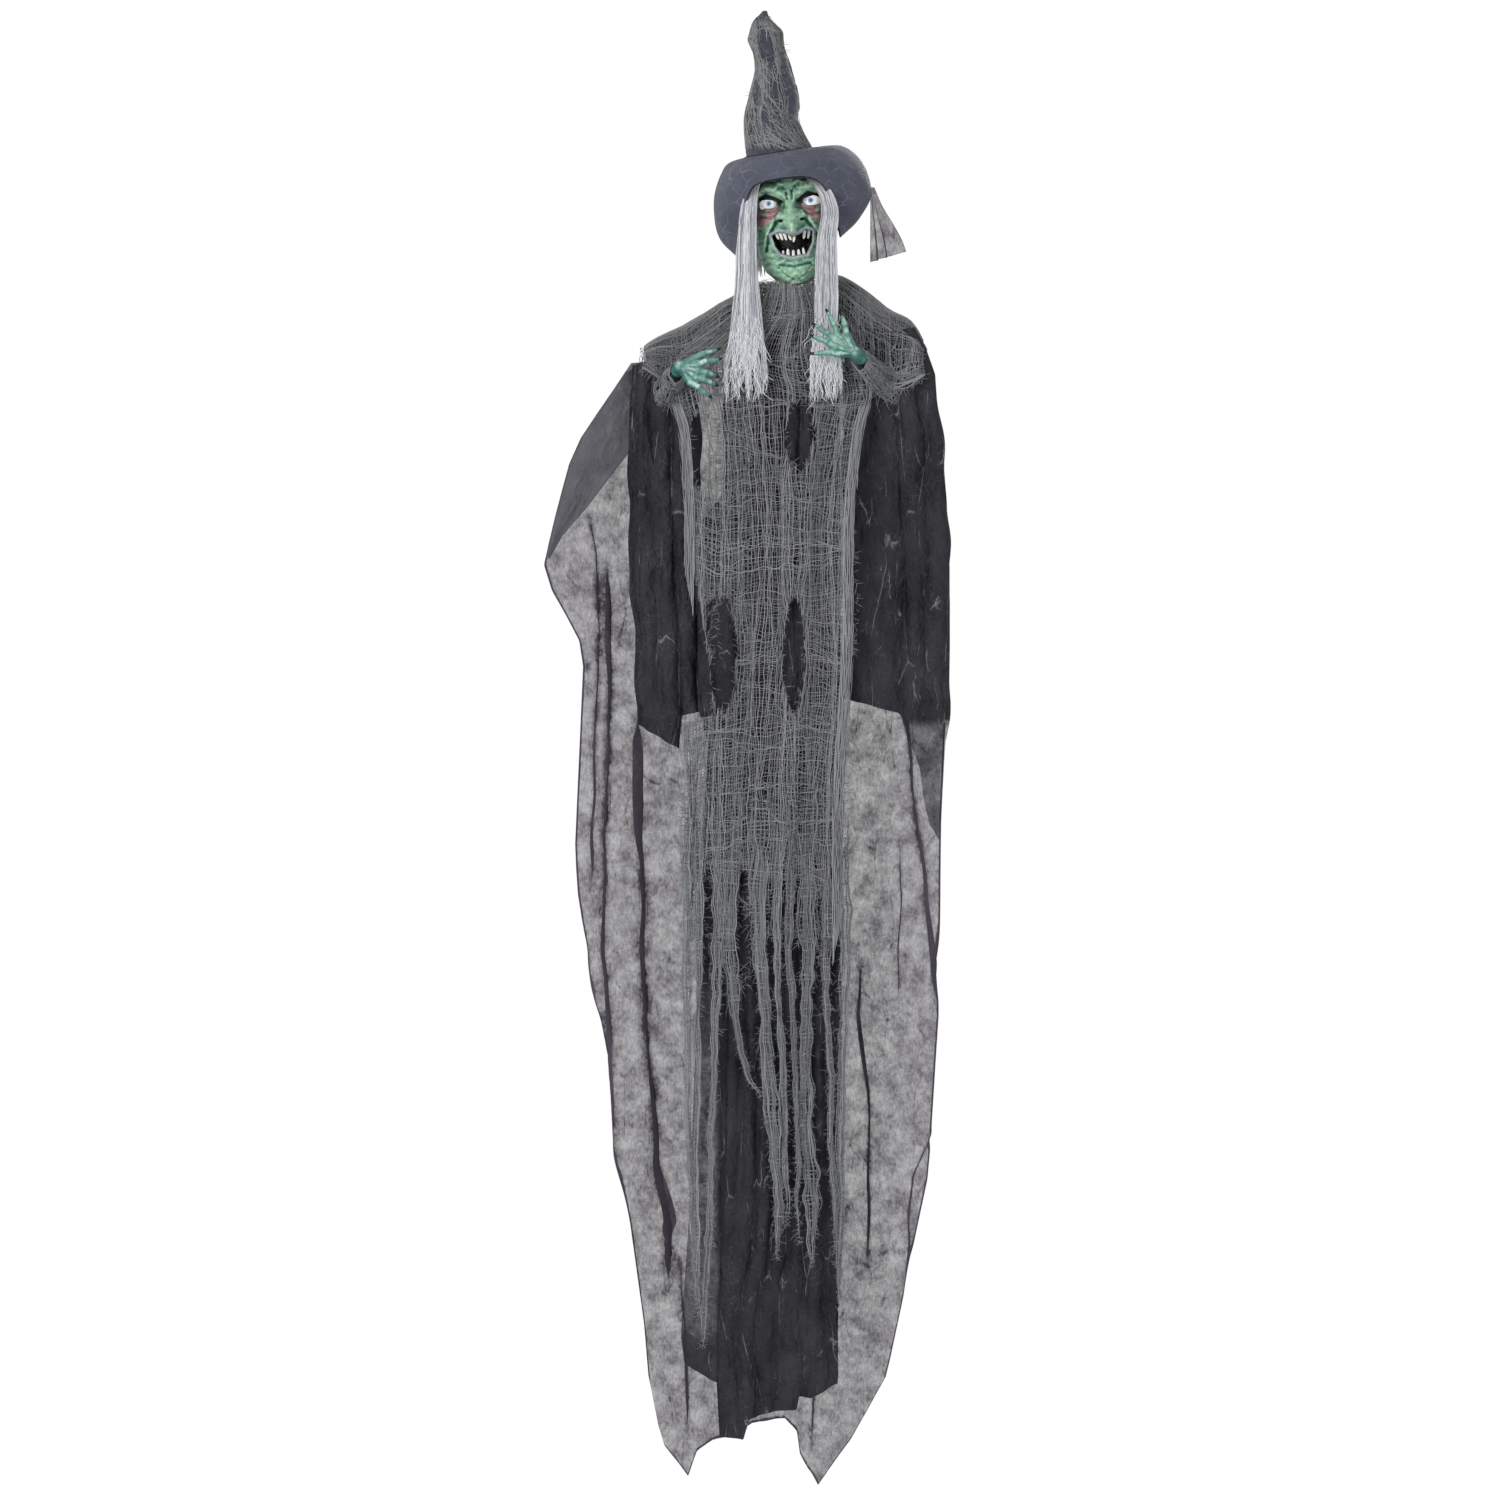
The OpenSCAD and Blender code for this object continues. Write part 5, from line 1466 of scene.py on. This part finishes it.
def hand(side):
    """A bony long-fingered hand: knuckles, tendons and webs under one painted skin, and black nails."""
    label = "left" if side < 0 else "right"
    knuckles, tips = (np.array(HANDS[label][k], float) for k in ("knuckles", "tips"))
    wrist = joint_point(f"hand_swivel_{label}")
    joint = next(j for j in frame["joints"] if j["name"] == f"hand_swivel_{label}")
    along = np.array(joint["axis"])
    cuff = wrist + along * 2
    heel = wrist + along * 15
    centres, sizes = ball_chain([cuff, heel], [10.5, 10.5])
    for k in range(5):
        knuckle, tip = knuckles[k], tips[k]
        first, second = (knuckle + (tip - knuckle) * s for s in (0.4, 0.73))
        first = first + [0, -5.5, 2.0]
        second = second + [0, -3.5, 0.8]
        c, r = ball_chain([heel, knuckle, first, second, tip], [6.8, 5.2, 4.4, 3.7, 2.5])
        centres += c
        sizes += r
        centres += [knuckle + [0, -1.6, 0], first + [0, -0.9, 0], second + [0, -0.6, 0]]
        sizes += [5.4, 4.9, 4.0]
        c, r = ball_chain([heel + [0, -7.5, 0], knuckle + [0, -4.8, 0]], [2.0, 1.8])
        centres += c
        sizes += r
    for a, b in zip(knuckles[1:-1], knuckles[2:]):
        c, r = ball_chain([(a + b) / 2, heel], [4.2, 7.5])
        centres += c
        sizes += r
    obj = balls_mesh(f"hand_skin_{label}", centres, sizes, SKIN, 1.1)
    points = np.array([v.co for v in obj.data.vertices]) / MM
    normals = np.array([v.normal for v in obj.data.vertices])
    away = np.linalg.norm(points - heel, axis=1)
    ridge = rough_noise(points[:, 0] / 3.5, points[:, 2] / 3.5, 271, 3)
    points = points + normals * (0.35 * ridge)[:, None]
    obj.data.vertices.foreach_set("co", (points * MM).astype(np.float32).ravel())
    # Painted light and shade: skin facing a light from the front and above is painted lime, and skin turned away
    # from it darker teal; the teal also grows towards the wrist.
    lit = np.clip(normals @ [0, -0.9, 0.42], 0, 1) ** 2
    patch = rough_noise(points[:, 0] / 9, points[:, 2] / 9, 272, 3)
    deep = np.clip(1.1 - away / 34 + 0.3 * patch, 0, 1) * 0.75 + 0.4 * (1 - lit)
    teal, green, lime = (
        np.array([0.03, 0.15, 0.13]), np.array([0.18, 0.4, 0.32]), np.array([0.58, 0.78, 0.68])
    )
    deep = np.clip(deep, 0, 1)[:, None]
    high = np.clip(lit * (0.62 + 0.8 * patch) - 0.2, 0, 1)[:, None]
    colour = green * (1 - deep) + teal * deep
    colour = colour * (1 - high) + lime * high
    nearest = np.min(np.linalg.norm(points[:, None, :] - tips[None], axis=2), axis=1)
    dark = smooth(-nearest, -4.6, -2.6)[:, None]
    colour = colour * (1 - dark) + np.array([0.01, 0.03, 0.025]) * dark
    paint(obj, "paint", colour)
    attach(obj, f"hand_{label}")
    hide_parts(f"hand_{label}")
    nails(label, knuckles, tips)


def nails(label, knuckles, tips):
    """Long curved nails, black, one on each fingertip."""
    points, faces, count = [], [], 0
    for knuckle, tip in zip(knuckles, tips):
        ahead = tip - knuckle
        ahead = ahead / np.linalg.norm(ahead)
        across = np.cross(ahead, [0, -1, 0])
        across = across / np.linalg.norm(across)
        up = np.cross(across, ahead)
        up = up * (1 if up[1] < 0 else -1)
        s = np.linspace(0, 1, 10)[:, None]
        t = np.linspace(-1, 1, 9)[None, :]
        half = 2.5 * np.sqrt(np.clip(1.02 - (s - 0.15).clip(0, 1) ** 2 * 1.35, 0.02, 1))
        place = (
            tip
            + ahead * (-4.0 + 10.0 * s + 0 * t)[..., None]
            + across * (half * t)[..., None]
            + up * (2.6 - 1.5 * t**2 - 2.6 * s**2)[..., None]
        )
        under = place - up * 0.7
        rows, columns = 10, 9
        quads = grid_faces(rows, columns)
        points += [place.reshape(-1, 3), under.reshape(-1, 3)]
        rim = np.concatenate([
            np.arange(columns), np.arange(1, rows) * columns + columns - 1,
            (rows - 1) * columns + np.arange(columns - 2, -1, -1), np.arange(rows - 2, 0, -1) * columns,
        ])
        wall = np.stack(
            [rim, np.roll(rim, -1), np.roll(rim, -1) + rows * columns, rim + rows * columns], axis=-1
        )
        faces += [quads + count, quads[:, ::-1] + count + rows * columns, wall[:, ::-1] + count]
        count += 2 * rows * columns
    obj = new_piece(f"nails_{label}", np.concatenate(points), np.concatenate(faces), NAIL)
    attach(obj, f"hand_{label}")


# ---- Carried-over CAD pieces ----


def cad_materials():
    """Every CAD piece that stays visible gets a finish with grain and wear."""
    finishes = {
        "steel": plain_material("zinc_plate", (0.6, 0.61, 0.64), 0.32, 1.0, 300, (1, 1, 12), 0.12),
        "case_plastic": plain_material("case_abs", (0.03, 0.03, 0.034), 0.5),
        "grey_plastic": plain_material("grey_nylon", (0.2, 0.2, 0.215), 0.55),
        "gear_plastic": plain_material("gear_acetal", (0.78, 0.76, 0.68), 0.35, wear=0.08),
        "bronze": plain_material("bearing_bronze", (0.5, 0.33, 0.12), 0.35, 1.0),
        "red_plastic": plain_material("red_button", (0.5, 0.015, 0.015), 0.25),
        "board": plain_material("solder_mask", (0.015, 0.16, 0.05), 0.3),
        "battery": plain_material("cell_wrap", (0.45, 0.3, 0.06), 0.3, 0.6),
        "speaker_black": plain_material("speaker_paper", (0.02, 0.02, 0.02), 0.8),
        "sensor_lens": plain_material("sensor_dome", (0.75, 0.78, 0.8), 0.2, wear=0.05),
        "wire": plain_material("wire_sleeve", (0.4, 0.015, 0.015), 0.4),
        "padding": plain_material("foam_pad", (0.05, 0.05, 0.055), 0.95, grain=1200),
        "lamp": plain_material("lamp_lens", (0.5, 0.65, 0.9), 0.1, wear=0.05),
    }
    slots = {row["node"]: row["material_slot"] for row in frame["record"]["subparts"]}
    for name, obj in frame["nodes"].items():
        if not obj.hide_render:
            obj.data.materials.clear()
            obj.data.materials.append(finishes[slots[name]])


# ---- Stage ----


def surround():
    """White where the camera looks past the figure, softer where it lights it."""
    world = bpy.data.worlds.new("surround")
    bpy.context.scene.world = world
    world.use_nodes = True
    tree = world.node_tree
    seen = tree.nodes["Background"]
    seen.inputs["Color"].default_value = (1, 1, 1, 1)
    soft = tree.nodes.new("ShaderNodeBackground")
    soft.inputs["Color"].default_value = (0.95, 0.97, 1, 1)
    soft.inputs["Strength"].default_value = AMBIENT
    path = tree.nodes.new("ShaderNodeLightPath")
    mix = tree.nodes.new("ShaderNodeMixShader")
    tree.links.new(path.outputs["Is Camera Ray"], mix.inputs[0])
    tree.links.new(soft.outputs[0], mix.inputs[1])
    tree.links.new(seen.outputs[0], mix.inputs[2])
    tree.links.new(mix.outputs[0], tree.nodes["World Output"].inputs["Surface"])


def area_lamp(name, place, size, power, target):
    lamp = bpy.data.lights.new(name, "AREA")
    lamp.size = size
    lamp.energy = power
    obj = bpy.data.objects.new(name, lamp)
    obj.location = place
    obj.rotation_euler = (target - obj.location).to_track_quat("-Z", "Y").to_euler()
    bpy.context.scene.collection.objects.link(obj)


def stage():
    """A pale floor, soft light, a white surround and the camera straight in front."""
    low, high = cad_box
    middle = (low + high) / 2
    bpy.ops.mesh.primitive_circle_add(
        vertices=128, radius=2.0, fill_type="NGON", location=(0, 0, low[2] - 0.12)
    )
    floor = bpy.context.object
    floor.name = "floor"
    floor.data.materials.append(plain_material("pale_floor", (0.86, 0.86, 0.86), 0.8, wear=0.02))
    surround()
    area_lamp("key", Vector((-2.2, -3.4, 0.7)), 1.6, 85, middle + Vector((0, 0, 0.4)))
    area_lamp("fill", Vector((2.8, -3.2, -0.6)), 2.2, 26, middle)
    area_lamp("back", Vector((0.8, 2.6, 0.8)), 2.0, 45, middle)
    camera = bpy.data.cameras.new("camera")
    camera.sensor_width = 36
    camera.lens = camera.sensor_width * CAMERA_DISTANCE / VIEW_HEIGHT
    camera.clip_end = 100
    holder = bpy.data.objects.new("camera", camera)
    holder.location = (VIEW_CENTRE[0], NECK[1] * MM - CAMERA_DISTANCE, VIEW_CENTRE[1])
    holder.rotation_euler = (math.pi / 2, 0, 0)
    bpy.context.scene.collection.objects.link(holder)
    bpy.context.scene.camera = holder
    bpy.context.scene.view_settings.view_transform = "Standard"



cape()
under_robe()
sleeve(-1, (-96, -60), LEFT_SLEEVE, ([0, 0.56, 0.6, 1], [-614, -650, -602, -588]))
sleeve(
    1, (-60, -40), RIGHT_SLEEVE, ([0, 0.5, 0.56, 0.76, 0.9, 1], [-576, -598, -604, -690, -760, -784]),
)
sleeve_wing()
front_gauze()
gauze_strips()
cowl(-1)
cowl(1)
neck_gauze()
arm_gauze(-1)
arm_gauze(1)
hat_crown()
hat_gauze()
hat_brim()
hat_tail()
hair_lock(-1)
hair_lock(1)
hair_behind()
face()
eyes()
teeth()
hand(-1)
hand(1)
cad_materials()
stage()
